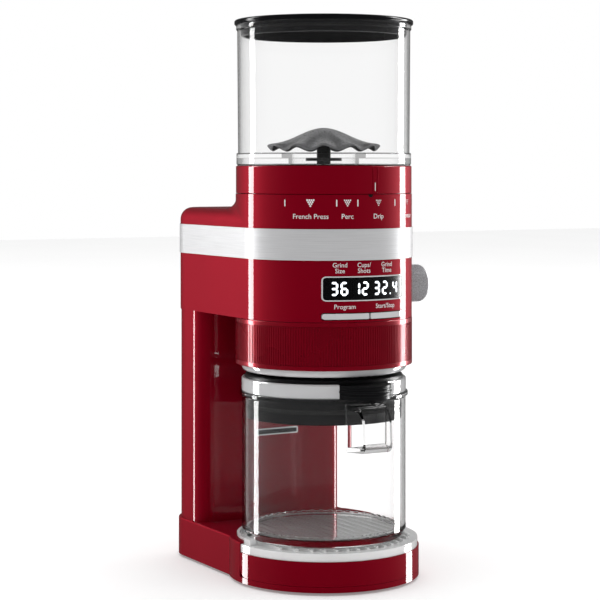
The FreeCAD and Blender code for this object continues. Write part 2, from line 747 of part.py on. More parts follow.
def make_head_upper():
    """Upper head shell: a land inside the band, a rear deck and the round neck rising from it."""
    body = new_body("head_upper_shell")
    casing(body, "deck", BAND_TOP, DECK_TOP,
           "dim.drum_radius", "dim.head_half_width", "dim.head_rear", "dim.rear_corner")
    round_edges(body, "dim.deck_round", level(DECK_TOP))
    neck = circles(body, "neck", "XY", [("0", "0", "dim.drum_radius")], BAND_TOP)
    pad(body, neck, f"{NECK_TOP} - {BAND_TOP}")
    doc.recompute()
    top = size(DECK_TOP)
    radius = size("dim.drum_radius")

    def meets_neck(edge):
        points = edge.discretize(5)
        flat = all(abs(p.z - top) < 0.01 for p in points)
        round_it = all(abs(math.hypot(p.x, p.y) - radius) < 0.01 for p in points)
        return flat and round_it and edge.CenterOfMass.y > 0

    round_edges(body, "dim.neck_fillet", meets_neck)
    inset = "(dim.band_thickness - dim.band_proud + 0.1)"
    casing(body, "land", "dim.band_bottom", BAND_TOP, f"dim.drum_radius - {inset}",
           f"dim.head_half_width - {inset}", f"dim.head_rear - {inset}", f"dim.rear_corner - {inset}")
    deep = f"({inset} + dim.shell_wall)"
    casing_cut(body, "hollow", "dim.band_bottom", f"{DECK_TOP} - dim.shell_wall",
               f"dim.drum_radius - {deep}", f"dim.head_half_width - {deep}",
               f"dim.head_rear - {deep} - dim.shell_wall", f"dim.rear_corner - {deep}")
    bore = circles(body, "bore", "XY", [("0", "0", "dim.drum_radius - dim.shell_wall - 0.6")],
                   "dim.band_bottom + dim.band_height / 2")
    pocket(body, bore, NECK_TOP)
    keep(body, "head_upper_shell")


def skin(body, inner, outer, low, high):
    """Bend a flat-fronted block to the drum: cut it between two radii."""
    beyond = f"{outer} + 40"
    groove(body, outline(body, "outside", "XZ", rectangle(outer, beyond, low, high)))
    if inner:
        pocket(body, circles(body, "inside", "XY", [("0", "0", inner)], low), f"{high} - ({low})")


def make_display():
    """Bezel frame and dark lens, both bent to the drum, with the board behind them."""
    gap = "0.1"
    face_low = "dim.display_low - 5"
    face_high = "dim.display_high + 5"

    def window(inset):
        return rectangle(f"-dim.display_half_width + {inset}", f"dim.display_half_width - ({inset})",
                         f"dim.display_low + {inset}", f"dim.display_high - ({inset})",
                         f"dim.display_corner - ({inset})")

    body = new_body("display_bezel")
    pad(body, outline(body, "outer", "XZ", window(gap), "30"), "dim.drum_radius")
    pocket(body, outline(body, "inner", "XZ", window("dim.bezel_width"), "25"), "dim.drum_radius")
    skin(body, "dim.drum_radius - dim.shell_wall", "dim.drum_radius + 0.15", face_low, face_high)
    keep(body, "display_bezel")
    body = new_body("display_lens")
    pad(body, outline(body, "face", "XZ", window(f"dim.bezel_width + {gap}"), "30"), "dim.drum_radius")
    skin(body, "dim.drum_radius - 0.2 - dim.lens_thickness", "dim.drum_radius - 0.2", face_low, face_high)
    keep(body, "display_lens")
    board = box("display_board_box", "-dim.button_reach - 1", "dim.button_reach + 1",
                "-dim.board_front", "-dim.board_front + dim.board_thickness",
                "dim.head_bottom + dim.floor_wall + 0.2", "dim.display_high + 3")
    keep(board_with_glass(board), "display_board")


def board_with_glass(board):
    """The board carries the flat digit unit behind the lens."""
    digits = box("digit_unit", "-dim.display_half_width + 4", "dim.display_half_width - 4",
                 "-dim.board_front - 3", "-dim.board_front", "dim.display_low + 1", "dim.display_high - 1")
    return joined("display_board_whole", [board, digits])


def make_buttons():
    """Two press bars, bent to the drum, each with a stem towards its switch."""
    for label, side in (("program_button", "-"), ("start_stop_button", "")):
        body = new_body(label)
        pad(body, outline(body, "bar", "XZ", button_face(side), "30"), "dim.drum_radius")
        skin(body, "dim.drum_radius - dim.shell_wall - 1", "dim.drum_radius + dim.button_proud",
             "dim.button_low - 5", "dim.button_low + dim.button_height + 5")
        middle = f"{side}(dim.button_reach / 2)"
        stem = rectangle(f"{middle} - 1.5", f"{middle} + 1.5", "dim.button_low + 0.5",
                         "dim.button_low + dim.button_height - 0.5")
        reach = "dim.board_front + dim.switch_depth + dim.button_travel + 0.1"
        pad(body, outline(body, "stem", "XZ", stem, reach), f"dim.drum_radius - 5 - ({reach})")
        keep(body, label)
    switches = []
    for name, side in (("left", "-"), ("right", "")):
        middle = f"{side}(dim.button_reach / 2)"
        z = "dim.button_low + dim.button_height / 2"
        switches.append(box(f"switch_{name}", f"{middle} - 3", f"{middle} + 3",
                            "-dim.board_front - dim.switch_depth",
                            "-dim.board_front", f"{z} - 2", f"{z} + 3"))
    keep(loose_group("tact_switches_group", switches), "tact_switches")


def make_knob():
    """Side knob on its own shaft, and the encoder that the shaft turns in."""
    body = new_body("knob")
    inner = "dim.drum_radius + dim.knob_stand_off"
    reach = "dim.knob_reach"
    shaft = "dim.knob_shaft_radius"
    start = "dim.drum_radius - 9"
    profile = [(start, "0"), (reach, "0"), (reach, "dim.knob_radius", "1.2"),
               (inner, "dim.knob_radius", "0.6"), (inner, shaft), (start, shaft)]
    revolve(body, outline(body, "section", "XZ", profile), "H_Axis")
    keep(body, "knob", z="dim.knob_height")
    case = box("encoder_case", "dim.drum_radius - 12", "dim.drum_radius - dim.shell_wall - 1.5",
               "-6.5", "6.5",
               "dim.knob_height - 6.5", "dim.knob_height + 6.5")
    bush = doc.addObject("Part::Cylinder", "encoder_bush")
    bore = doc.addObject("Part::Cylinder", "encoder_bore")
    for part, radius, low, high in (
        (bush, "4.5", "dim.drum_radius - 6", "dim.drum_radius + 0.8"),
        (bore, "dim.knob_shaft_radius + dim.running_gap", "dim.drum_radius - 9.3", "dim.drum_radius + 5"),
    ):
        part.Placement.Rotation = FreeCAD.Rotation(FreeCAD.Vector(0, 1, 0), 90)
        part.setExpression("Radius", radius)
        part.setExpression("Height", f"{high} - ({low})")
        part.setExpression("Placement.Base.x", low)
        part.setExpression("Placement.Base.z", "dim.knob_height")
    keep(removed("encoder_bored", joined("encoder_solid", [case, bush]), bore), "knob_encoder")


def make_rings():
    """Ribbed ring below the head and the bright outlet ring under it."""
    wall = "dim.drum_radius - dim.shell_wall"
    face = "dim.drum_radius + 0.2"
    turned("ribbed_ring", [
        (wall, "dim.ring_bottom"), (face, "dim.ring_bottom", "0.6"),
        (face, "dim.ring_bottom + dim.ring_rim"),
        (f"{face} - dim.ring_groove", "dim.ring_bottom + dim.ring_rim"),
        (f"{face} - dim.ring_groove", "dim.head_bottom - dim.ring_rim"),
        (face, "dim.head_bottom - dim.ring_rim"),
        (face, "dim.head_bottom - 0.2", "0.6"), (wall, "dim.head_bottom - 0.2")])
    low = "dim.ring_bottom - dim.outlet_drop"
    turned("outlet_ring", [
        ("dim.outlet_radius - 8", low), ("dim.outlet_radius", low, "4"),
        ("dim.outlet_radius", "dim.ring_bottom + 4"), ("dim.outlet_radius - 8", "dim.ring_bottom + 4")])


# ---- drive ---------------------------------------------------------------------------------------

def toothed_wheel(label, teeth_cell, phase, bore, x="0", y="0"):
    """Spur wheel with involute flanks. phase is the angle of one tooth's middle, in degrees."""
    teeth = int(round(size("dim." + teeth_cell)))
    module = size("dim.tooth_module")
    pitch_radius = teeth * module / 2
    pressure = math.radians(20)
    base_radius = pitch_radius * math.cos(pressure)
    root = pitch_radius - 1.25 * module
    tip = pitch_radius + 0.85 * module
    half_pitch = 0.46 * math.pi / teeth

    def half_angle(radius):
        roll = math.acos(min(1.0, base_radius / radius))
        flank = math.tan(roll) - roll
        return half_pitch + (math.tan(pressure) - pressure) - flank

    foot = max(root, base_radius)
    radii = [foot, (foot + pitch_radius) / 2, pitch_radius, (pitch_radius + tip) / 2, tip]
    points = []
    for tooth in range(teeth):
        middle = math.radians(phase) + tooth * 2 * math.pi / teeth
        steps = [(root, -half_angle(foot))] if root < foot - 0.01 else []
        steps += [(radius, -half_angle(radius)) for radius in radii]
        steps += [(radius, -angle) for radius, angle in reversed(steps)]
        points += [FreeCAD.Vector(radius * math.cos(middle + angle), radius * math.sin(middle + angle), 0)
                   for radius, angle in steps]
    rim = Part.makePolygon(points + points[:1])
    blank = Part.Face(rim).extrude(FreeCAD.Vector(0, 0, size("dim.gear_width")))
    hole = Part.makeCylinder(size(bore), size("dim.gear_width"))
    wheel = doc.addObject("Part::Feature", label + "_wheel")
    wheel.Shape = blank.cut(hole)
    keep(wheel, label, x, y, "dim.gear_low")


def make_gears():
    """Main wheel on the burr shaft, idler behind it and pinion on the motor, in mesh along +Y."""
    pitch_idler = 360 / size("dim.idler_teeth")
    pitch_pinion = 360 / size("dim.pinion_teeth")
    main_phase = 90.0
    idler_phase = 270.0 + pitch_idler / 2
    ahead = ((idler_phase - 90.0) / pitch_idler) % 1.0
    pinion_phase = 270.0 + (0.5 - ahead) * pitch_pinion
    toothed_wheel("main_gear", "main_teeth", main_phase, "dim.shaft_radius")
    toothed_wheel("idler_gear", "idler_teeth", idler_phase, "3 + dim.running_gap", y=IDLER_Y)
    toothed_wheel("motor_pinion", "pinion_teeth", pinion_phase, "dim.motor_shaft_radius", y=MOTOR_Y)


def make_gear_plates():
    """Two cast plates carry the wheels; pillars on the lower one space them."""
    nose = "dim.chute_front - 1"
    for label, low in (("gear_plate", "dim.plate_low"), ("gearbox_cover", COVER_PLATE_LOW)):
        body = new_body(label)
        casing(body, "plate", low, f"{low} + dim.plate_thickness", nose, "44", "dim.head_rear - 9", "12")
        mouth = CHUTE_REAR if label == "gear_plate" else MOUTH_REAR
        hole = rectangle("-dim.chute_half_width - 0.5", "dim.chute_half_width + 0.5",
                         "-dim.chute_front - 0.5", f"-{mouth} + 0.5")
        pocket(body, outline(body, "chute_hole", "XY", hole, low), "dim.plate_thickness")
        round_holes = [("0", "0", "dim.bearing_radius + dim.running_gap"), ("0", IDLER_Y, "3")]
        if label == "gearbox_cover":
            round_holes.append(("0", MOTOR_Y, "dim.motor_shaft_radius + 1"))
        pocket(body, circles(body, "holes", "XY", round_holes, low), "dim.plate_thickness")
        if label == "gear_plate":
            pillars = [(f"{sx}37", y, "4") for sx in ("", "-") for y in ("14", "98")]
            pad(body, circles(body, "pillars", "XY", pillars, PLATE_TOP), "dim.plate_gap")
        keep(body, label)
    keep_rod(cylinder("idler_pin_rod", "3", "dim.plate_low", COVER_PLATE_TOP), "idler_pin",
             "dim.plate_low", IDLER_Y)
    bearings = []
    for i, low in enumerate(("dim.plate_low", "dim.chamber_floor")):
        outer = cylinder(f"bearing_{i}_outer", "dim.bearing_radius", low, f"{low} + dim.plate_thickness")
        inner = cylinder(f"bearing_{i}_inner", "dim.shaft_radius + dim.running_gap",
                         low, f"{low} + dim.plate_thickness")
        bearings.append(removed(f"bearing_{i}", outer, inner))
    keep(loose_group("shaft_bearings_group", bearings), "shaft_bearings")


def make_motor():
    """Motor standing on the gear cover, with its armature and shaft."""
    wall = "1.5"
    low = MOTOR_CAN_LOW
    top = f"({low} + dim.motor_height)"
    shaft = "dim.motor_shaft_radius"
    turned("motor_can", [
        (f"dim.motor_radius - {wall}", low), ("dim.motor_radius", low), ("dim.motor_radius", top, "3"),
        ("0", top), ("0", f"{top} - 2"), (f"dim.motor_radius - {wall}", f"{top} - 2", "1.5")], y=MOTOR_Y)
    turned("motor_end_plate", [
        (f"{shaft} + dim.running_gap", COVER_PLATE_TOP), ("dim.motor_radius", COVER_PLATE_TOP),
        ("dim.motor_radius", low), (f"{shaft} + dim.running_gap", low)], y=MOTOR_Y)
    turned("motor_armature", [
        (shaft, f"{low} + 5"), ("dim.motor_radius - 8", f"{low} + 5", "1"),
        ("dim.motor_radius - 8", f"{top} - 8", "1"), (shaft, f"{top} - 8")], y=MOTOR_Y)
    keep_rod(cylinder("motor_rod", shaft, "dim.gear_low - 1", f"{top} - 4"), "motor_shaft",
             "dim.gear_low - 1", MOTOR_Y)


def make_main_board():
    """Upright power board behind the motor, with its larger parts at the sides."""
    rear = "dim.head_rear - dim.shell_wall - dim.shell_wall"
    board = box("power_board", "-38", "38", f"{rear} - 1.6", rear, "dim.plate_low + 4",
                "dim.band_bottom - 1")
    blocks = [box(f"board_block_{i}", x_low, x_high, f"{rear} - {deep}", f"{rear} - 1.6", z_low, z_high)
              for i, (x_low, x_high, deep, z_low, z_high) in enumerate((
                  ("-37", "-25", "4", "dim.plate_low + 24", "dim.plate_low + 38"),
                  ("22", "36", "4", "dim.plate_low + 22", "dim.plate_low + 34")))]
    keep(joined("main_board_whole", [board] + blocks), "main_board")


# ---- burrs ---------------------------------------------------------------------------------------

def make_chamber():
    """Grinding bowl on a skirt, open to the chute at its front."""
    outer = "(dim.chamber_radius + dim.chamber_wall)"
    floor_top = "dim.chamber_floor + dim.plate_thickness"
    body = new_body("grind_chamber")
    profile = [
        ("dim.bearing_radius + dim.running_gap", "dim.chamber_floor"),
        ("dim.chamber_radius", "dim.chamber_floor"),
        ("dim.chamber_radius", COVER_PLATE_TOP), (outer, COVER_PLATE_TOP), (outer, "dim.chamber_top"),
        ("dim.chamber_radius", "dim.chamber_top"), ("dim.chamber_radius", floor_top),
        ("dim.bearing_radius + dim.running_gap", floor_top)]
    revolve(body, outline(body, "section", "XZ", profile))
    port = rectangle("-dim.chute_half_width + 2", "dim.chute_half_width - 2",
                     "-dim.chamber_radius + 2", f"-{MOUTH_REAR} - 2")
    pocket(body, outline(body, "port", "XY", port, "dim.chamber_floor - 1"), "dim.plate_thickness + 2")
    notch = rectangle("-dim.chute_half_width - 0.5", "dim.chute_half_width + 0.5",
                      "-dim.chute_front - 3", f"-{MOUTH_REAR} + 0.5")
    pocket(body, outline(body, "notch", "XY", notch, COVER_PLATE_TOP),
           f"dim.chamber_floor - {COVER_PLATE_TOP}")
    keep(body, "grind_chamber")


def make_chute():
    """Chute from the bowl's port down to the outlet, with a round floor that closes the outlet ring."""
    bottom = "dim.ring_bottom - 2"
    front = "-dim.chute_front"
    body = new_body("grind_chute")
    top = "dim.chamber_floor - 0.2"
    bend = COVER_PLATE_LOW
    profile = [(front, bottom), (f"-{CHUTE_REAR}", bottom), (f"-{CHUTE_REAR}", f"{bend} - 1"),
               (f"-{MOUTH_REAR}", f"{bend} + 5"), (f"-{MOUTH_REAR}", top), (front, top)]
    pad(body, outline(body, "side", "YZ", profile), "2 * dim.chute_half_width", both_ways=True)
    disc = circles(body, "outlet_floor", "XY", [("0", "0", "dim.outlet_radius - 8.2")], bottom)
    pad(body, disc, "2")
    wall = "dim.chute_wall"
    inner = [(f"{front} + {wall}", f"{bottom} - 5"), (f"-{CHUTE_REAR} - {wall}", f"{bottom} - 5"),
             (f"-{CHUTE_REAR} - {wall}", f"{bend} - 0.6"), (f"-{MOUTH_REAR} - {wall}", f"{bend} + 5.4"),
             (f"-{MOUTH_REAR} - {wall}", f"{top} + 5"), (f"{front} + {wall}", f"{top} + 5")]
    pocket(body, outline(body, "bore", "YZ", inner), f"2 * (dim.chute_half_width - {wall})", both_ways=True)
    keep(body, "grind_chute")


def make_burr_spindle():
    """Shaft, sweeper, cone burr and nut turn together."""
    top = "(dim.burr_low + dim.cone_height)"
    keep_rod(cylinder("drive_shaft_rod", "dim.shaft_radius", "dim.plate_low - 0.5", f"{top} + 4"),
             "drive_shaft", "dim.plate_low - 0.5")
    body = new_body("sweeper")
    low = "(dim.chamber_floor + dim.plate_thickness + 0.4)"
    profile = [("dim.shaft_radius", low), ("dim.chamber_radius - 3", low),
               ("dim.chamber_radius - 3", f"{low} + 1.6"), ("dim.cone_radius - 2", f"{low} + 1.6"),
               ("dim.cone_radius - 2", "dim.burr_low"), ("dim.shaft_radius", "dim.burr_low")]
    revolve(body, outline(body, "section", "XZ", profile))
    blade = rectangle("dim.cone_radius - 4", "dim.chamber_radius - 3.5", "-1.2", "1.2")
    around(body, pad(body, outline(body, "blade", "XY", blade, f"{low} + 1"),
                     f"dim.burr_low - 0.3 - ({low} + 1)"), 4)
    keep(body, "sweeper")
    body = new_body("cone_burr")
    profile = [("dim.shaft_radius", "dim.burr_low"), ("dim.cone_radius", "dim.burr_low"),
               ("dim.cone_radius", "dim.burr_low + 4"), ("dim.cone_top_radius", top),
               ("dim.shaft_radius", top)]
    revolve(body, outline(body, "section", "XZ", profile))
    flute = [("dim.cone_top_radius - 0.5", f"{top} + 1"), ("dim.cone_top_radius + 4", f"{top} + 1"),
             ("dim.cone_radius + 2", "dim.burr_low + 6"), ("dim.cone_radius - 3", "dim.burr_low + 6")]
    around(body, pocket(body, outline(body, "flute", "XZ", flute), "1.6", both_ways=True), 10)
    keep(body, "cone_burr")
    body = new_body("burr_nut")
    pad(body, circles(body, "blank", "XY", [("0", "0", "dim.cone_top_radius - 1")], top), "6")
    pocket(body, circles(body, "bore", "XY", [("0", "0", "dim.shaft_radius")], top), "4")
    keep(body, "burr_nut")


def make_upper_burr():
    """Ring burr and its carrier, which rise and fall with the collar."""
    low = BURR_CLEAR
    top = f"({low} + dim.ring_burr_height)"
    slope = "((dim.cone_radius - dim.cone_top_radius) / (dim.cone_height - 4))"
    gap = "dim.burr_gap + 0.6"
    turned("ring_burr", [
        (f"dim.cone_radius + {gap}", low), ("dim.ring_burr_radius", low), ("dim.ring_burr_radius", top),
        (f"dim.cone_radius + {gap} - {slope} * dim.ring_burr_height", top)])
    outer = "dim.chamber_radius - dim.carrier_gap"
    rim = f"({top} + 10)"
    turned("burr_carrier", [
        ("dim.ring_burr_radius", low), (outer, low), (outer, rim), (f"{outer} - 3", rim),
        ("dim.cone_radius + 2", f"{top} + 0.01"), ("dim.ring_burr_radius", f"{top} + 0.005")])


# ---- collar and hopper ---------------------------------------------------------------------------

def make_collar():
    """Grind collar with its inner flange, the threaded adjuster under it and the fixed track."""
    shelf = f"({COLLAR_LOW} + 3)"
    body = new_body("grind_collar")
    profile = [
        (COLLAR_BORE, COLLAR_LOW), ("dim.collar_radius", COLLAR_LOW, "0.5"),
        ("dim.collar_radius", COLLAR_TOP, "0.8"),
        (COLLAR_BORE, COLLAR_TOP), (COLLAR_BORE, f"{shelf} + 3"), ("dim.hub_radius + 2", f"{shelf} + 3"),
        ("dim.hub_radius + 2", shelf), (COLLAR_BORE, shelf)]
    revolve(body, outline(body, "section", "XZ", profile))
    keep(body, "grind_collar")
    flange_low = f"({shelf} + 3)"
    turned("adjuster_ring", [
        ("dim.chamber_radius + dim.carrier_gap", "dim.chamber_top + 2"),
        ("dim.hub_radius", "dim.chamber_top + 2"),
        ("dim.hub_radius", flange_low), ("dim.hub_radius + 6", flange_low),
        ("dim.hub_radius + 6", f"{flange_low} + 2"),
        ("dim.chamber_radius + dim.carrier_gap", f"{flange_low} + 2")])
    turned("collar_track", [
        ("dim.hub_radius + 1", f"{NECK_TOP} - 6"),
        ("dim.drum_radius - dim.shell_wall - 0.7", f"{NECK_TOP} - 6"),
        ("dim.drum_radius - dim.shell_wall - 0.7", f"{NECK_TOP} - 0.2"),
        ("dim.hub_radius + 1", f"{NECK_TOP} - 0.2")])
    turned("bayonet_ring", [
        ("dim.throat_radius", BAYONET_LOW), ("dim.bayonet_radius", BAYONET_LOW),
        ("dim.bayonet_radius", f"{COLLAR_TOP} - 0.5"), ("dim.bayonet_radius - 4", f"{COLLAR_TOP} - 0.5"),
        ("dim.bayonet_radius - 4", f"{BAYONET_LOW} + 3"), ("dim.throat_radius", f"{BAYONET_LOW} + 3")])


def windows(body, low, tall):
    """Two opposite bean windows through a round plate."""
    window = rectangle("9", "dim.spout_radius - 5", "-9", "9", "3")
    around(body, pocket(body, outline(body, "bean_window", "XY", window, low), tall), 2)


def make_hopper():
    """Clear hopper tube, and its clear foot with the flange, flat floor, spout and bean windows."""
    foot = f"({FLANGE_TOP} + dim.bond_gap)"
    turned("hopper", [
        (HOPPER_BORE, foot), ("dim.hopper_radius - 0.6", foot), ("dim.hopper_radius", "dim.hopper_top - 4"),
        ("dim.hopper_radius + 0.8", "dim.hopper_top - 3"),
        ("dim.hopper_radius + 0.8", "dim.hopper_top", "0.5"), (HOPPER_BORE, "dim.hopper_top")])
    body = new_body("hopper_base")
    floor_low = f"({FLANGE_TOP} - dim.hopper_floor)"
    spout_low = f"({GATE_LOW} + 2.4)"
    profile = [
        ("0", spout_low), ("dim.spout_radius", spout_low), ("dim.spout_radius", floor_low),
        ("dim.flange_radius - 4", floor_low), ("dim.flange_radius - 4", HOPPER_LOW),
        ("dim.flange_radius", HOPPER_LOW, "0.6"), ("dim.flange_radius", FLANGE_TOP, "0.6"),
        ("dim.spout_radius - dim.spout_wall", FLANGE_TOP),
        ("dim.spout_radius - dim.spout_wall", f"{spout_low} + 1.6"), ("0", f"{spout_low} + 1.6")]
    revolve(body, outline(body, "section", "XZ", profile))
    windows(body, f"{spout_low} - 1", "4")
    keep(body, "hopper_base")
    turned("hopper_seal", [
        ("dim.flange_radius - 3", f"{COLLAR_TOP} + 0.05"),
        ("dim.flange_radius - 0.6", f"{COLLAR_TOP} + 0.05"),
        ("dim.flange_radius - 0.6", HOPPER_LOW), ("dim.flange_radius - 3", HOPPER_LOW)])
    body = new_body("gate_disc")
    gate = circles(body, "disc", "XY", [("0", "0", "dim.spout_radius")], GATE_LOW)
    pad(body, gate, "2")
    windows(body, f"{GATE_LOW} - 1", "4")
    keep(body, "gate_disc")
    stem_low = f"({spout_low} + 1.6)"
    cone_low = f"({FLANGE_TOP} + dim.umbrella_foot)"
    turned("bean_cone", [
        ("0", f"{UMBRELLA_TOP} - 2"), ("dim.stem_radius * 2", f"{UMBRELLA_TOP} - 3.4"),
        ("dim.umbrella_radius - 6", f"{cone_low} + 1.6"), ("dim.umbrella_radius - 1", f"{cone_low} - 0.6"),
        ("dim.umbrella_radius", f"{cone_low} + 1"), ("dim.umbrella_radius - 6", f"{cone_low} + 4"),
        ("dim.stem_radius * 2", f"{UMBRELLA_TOP} - 1.2"), ("0", UMBRELLA_TOP)])
    turned("cone_stem", [
        ("0", stem_low), ("dim.stem_radius", stem_low), ("dim.stem_radius", f"{floor_low} - 2"),
        ("13", f"{floor_low} - 2"), ("13", floor_low), ("dim.stem_radius", floor_low),
        ("dim.stem_radius", f"{UMBRELLA_TOP} - 3"), ("0", f"{UMBRELLA_TOP} - 2")])


def make_hopper_lid():
    low = "(dim.hopper_top + 0.05)"
    plug = f"({HOPPER_BORE} - dim.lid_gap)"
    seat = "(dim.hopper_top - dim.lid_plug_depth * 0.55)"
    turned("hopper_lid", [
        ("0", f"{low} + 1"), (f"{plug} - 2.5", f"{low} + 1"),
        (f"{plug} - 2.5", "dim.hopper_top - dim.lid_plug_depth"),
        (plug, "dim.hopper_top - dim.lid_plug_depth", "1"), (plug, low), ("dim.lid_radius", low, "1.2"),
        ("dim.lid_radius", f"{low} + dim.lid_thickness", "1.4"),
        ("dim.lid_radius - 4", f"{low} + dim.lid_thickness"),
        ("dim.lid_radius - 6", f"{low} + dim.lid_thickness - 0.8"),
        ("0", f"{low} + dim.lid_thickness - 0.8")])
    turned("hopper_lid_seal", [
        (plug, seat), (f"{HOPPER_BORE} - dim.running_gap", f"{seat} + 0.5"),
        (f"{HOPPER_BORE} - dim.running_gap", f"{seat} + 1.5"), (plug, f"{seat} + 2")])


# ---- tray, jar and jar lid -----------------------------------------------------------------------

def make_tray():
    """Bright ribbed tray: round front, smaller round rear that nests in the base, and two lugs."""
    back = "(dim.tray_low + dim.tray_height + dim.tray_back_rise)"
    half = "dim.tray_radius + 5"
    front_half = box("tray_front_half", f"-({half})", half, f"-({half})", "0", "dim.tray_low", TRAY_TOP)
    front = shared("tray_front", cylinder("tray_front_disc", "dim.tray_radius", "dim.tray_low",
                                          TRAY_TOP), front_half)
    rear_half = box("tray_rear_half", f"-({half})", half, "0", half, "dim.tray_low", back)
    rear_disc = cylinder("tray_rear_disc", "dim.tray_rear_radius", "dim.tray_low", back)
    rear = shared("tray_rear", rear_disc, rear_half)
    dish = cylinder("tray_dish", "dim.tray_radius - dim.tray_ring", "dim.tray_low + 2.2", back)
    shell = removed("tray_shell", joined("tray_block", [front, rear]), dish)
    ribs = []
    reach = size("dim.tray_radius - dim.tray_ring")
    count = int(reach // size("dim.tray_rib_pitch"))
    for i in range(-count, count + 1):
        x = f"{i} * dim.tray_rib_pitch"
        chord = f"sqrt((dim.tray_radius - dim.tray_ring) ^ 2 - ({x}) ^ 2)"
        ribs.append(box(f"tray_rib_{i + count}", f"({x} - 1)", f"({x} + 1)", f"-({chord}) - 1",
                        f"({chord} + 1)",
                        "dim.tray_low + 2", "dim.base_top"))
    lugs = []
    for name, low, high in (("left", "-dim.jar_radius - 1.4 - dim.lug_width", "-dim.jar_radius - 1.4"),
                            ("right", "dim.jar_radius + 1.4", "dim.jar_radius + 1.4 + dim.lug_width")):
        lugs.append(box(f"tray_lug_{name}", low, high, "-9", "0", "dim.tray_low + 1", f"{TRAY_TOP} + 4"))
    keep(joined("tray_whole", [shell] + ribs + lugs), "tray")
    body = new_body("tray_skirt")
    low = f"({LEDGE_TOP} + 0.2)"
    top = "(dim.tray_low - 0.1)"
    pad(body, circles(body, "disc", "XY", [("0", "0", "dim.base_nose_radius")], low), f"{top} - {low}")
    behind = rectangle(f"-({half})", half, "-0.3", half)
    pocket(body, outline(body, "behind", "XY", behind, f"{low} - 1"), "dim.base_top")
    floor = size(low)
    round_edges(body, "8",
                lambda edge: edge.Length > 50 and abs(edge.BoundBox.YMax - edge.BoundBox.YMin) < 0.01
                and abs(edge.BoundBox.ZMax - floor) < 0.01)
    inner = "dim.base_nose_radius - dim.shell_wall"
    hollow = new_body("tray_skirt_hollow")
    pad(hollow, circles(hollow, "disc", "XY", [("0", "0", inner)], f"{low} + 2"), f"{top} - {low}")
    pocket(hollow, outline(hollow, "behind", "XY", rectangle(f"-({half})", half,
            "-dim.shell_wall * 3", half),
                           f"{low} - 1"), "dim.base_top + 10")
    keep(removed("tray_skirt_shell", body, hollow), "tray_skirt")


def make_jar():
    """Glass jar with a moulded loop handle at its front."""
    body = new_body("jar")
    profile = [
        ("0", f"{JAR_LOW} + 1"), ("dim.jar_radius - 8", f"{JAR_LOW} + 1"), ("dim.jar_radius - 7", JAR_LOW),
        ("dim.jar_radius - 3", JAR_LOW, "1"), ("dim.jar_radius", f"{JAR_LOW} + 5", "2"),
        ("dim.jar_radius", "dim.jar_top - 4"), ("dim.jar_rim_radius", "dim.jar_top - 2.6"),
        ("dim.jar_rim_radius", "dim.jar_top", "0.6"), (JAR_BORE, "dim.jar_top"),
        (JAR_BORE, f"{JAR_LOW} + 5", "3"), ("0", f"{JAR_LOW} + 5")]
    revolve(body, outline(body, "section", "XZ", profile))
    wall = "dim.handle_wall"
    front = "-dim.handle_reach"
    root = "-(dim.jar_radius - dim.jar_wall * 0.75)"
    half = "dim.handle_width"
    loop = new_body("jar_handle_loop")
    side = [(root, "dim.handle_low"), (front, "dim.handle_low", "dim.handle_low_corner"),
            (f"{front} + 2", "dim.handle_high", "dim.handle_high_corner"), (root, "dim.handle_high")]
    pad(loop, outline(loop, "loop", "YZ", side), half, both_ways=True)
    gap = [("-dim.jar_radius - 0.4", f"dim.handle_low + {wall}"),
           (f"{front} + {wall}", f"dim.handle_low + {wall}", f"dim.handle_low_corner - {wall} + 1"),
           (f"{front} + 2 + {wall}", f"dim.handle_high - {wall}", f"dim.handle_high_corner - {wall}"),
           ("-dim.jar_radius - 0.4", f"dim.handle_high - {wall}")]
    pocket(loop, outline(loop, "gap", "YZ", gap), "dim.handle_width + 10", both_ways=True)
    plan_body = new_body("jar_handle_plan")
    wide = "dim.handle_width / 2"
    narrow = "dim.handle_front_width / 2"
    waist = "-dim.jar_radius - 8"
    plan = [(f"-({wide})", "-dim.jar_radius + 6"), (f"-({wide})", "-dim.jar_radius - 0.5", "2"),
            (f"-({narrow})", waist, "6"), (f"-({narrow})", f"{front} - 2"), (narrow, f"{front} - 2"),
            (narrow, waist, "6"), (wide, "-dim.jar_radius - 0.5", "2"), (wide, "-dim.jar_radius + 6")]
    pad(plan_body, outline(plan_body, "plan", "XY", plan, "dim.handle_low - 1"),
        "dim.handle_high - dim.handle_low + 2")
    handle = shared("jar_handle", loop, plan_body)
    keep(joined("jar_whole", [body, handle]), "jar")


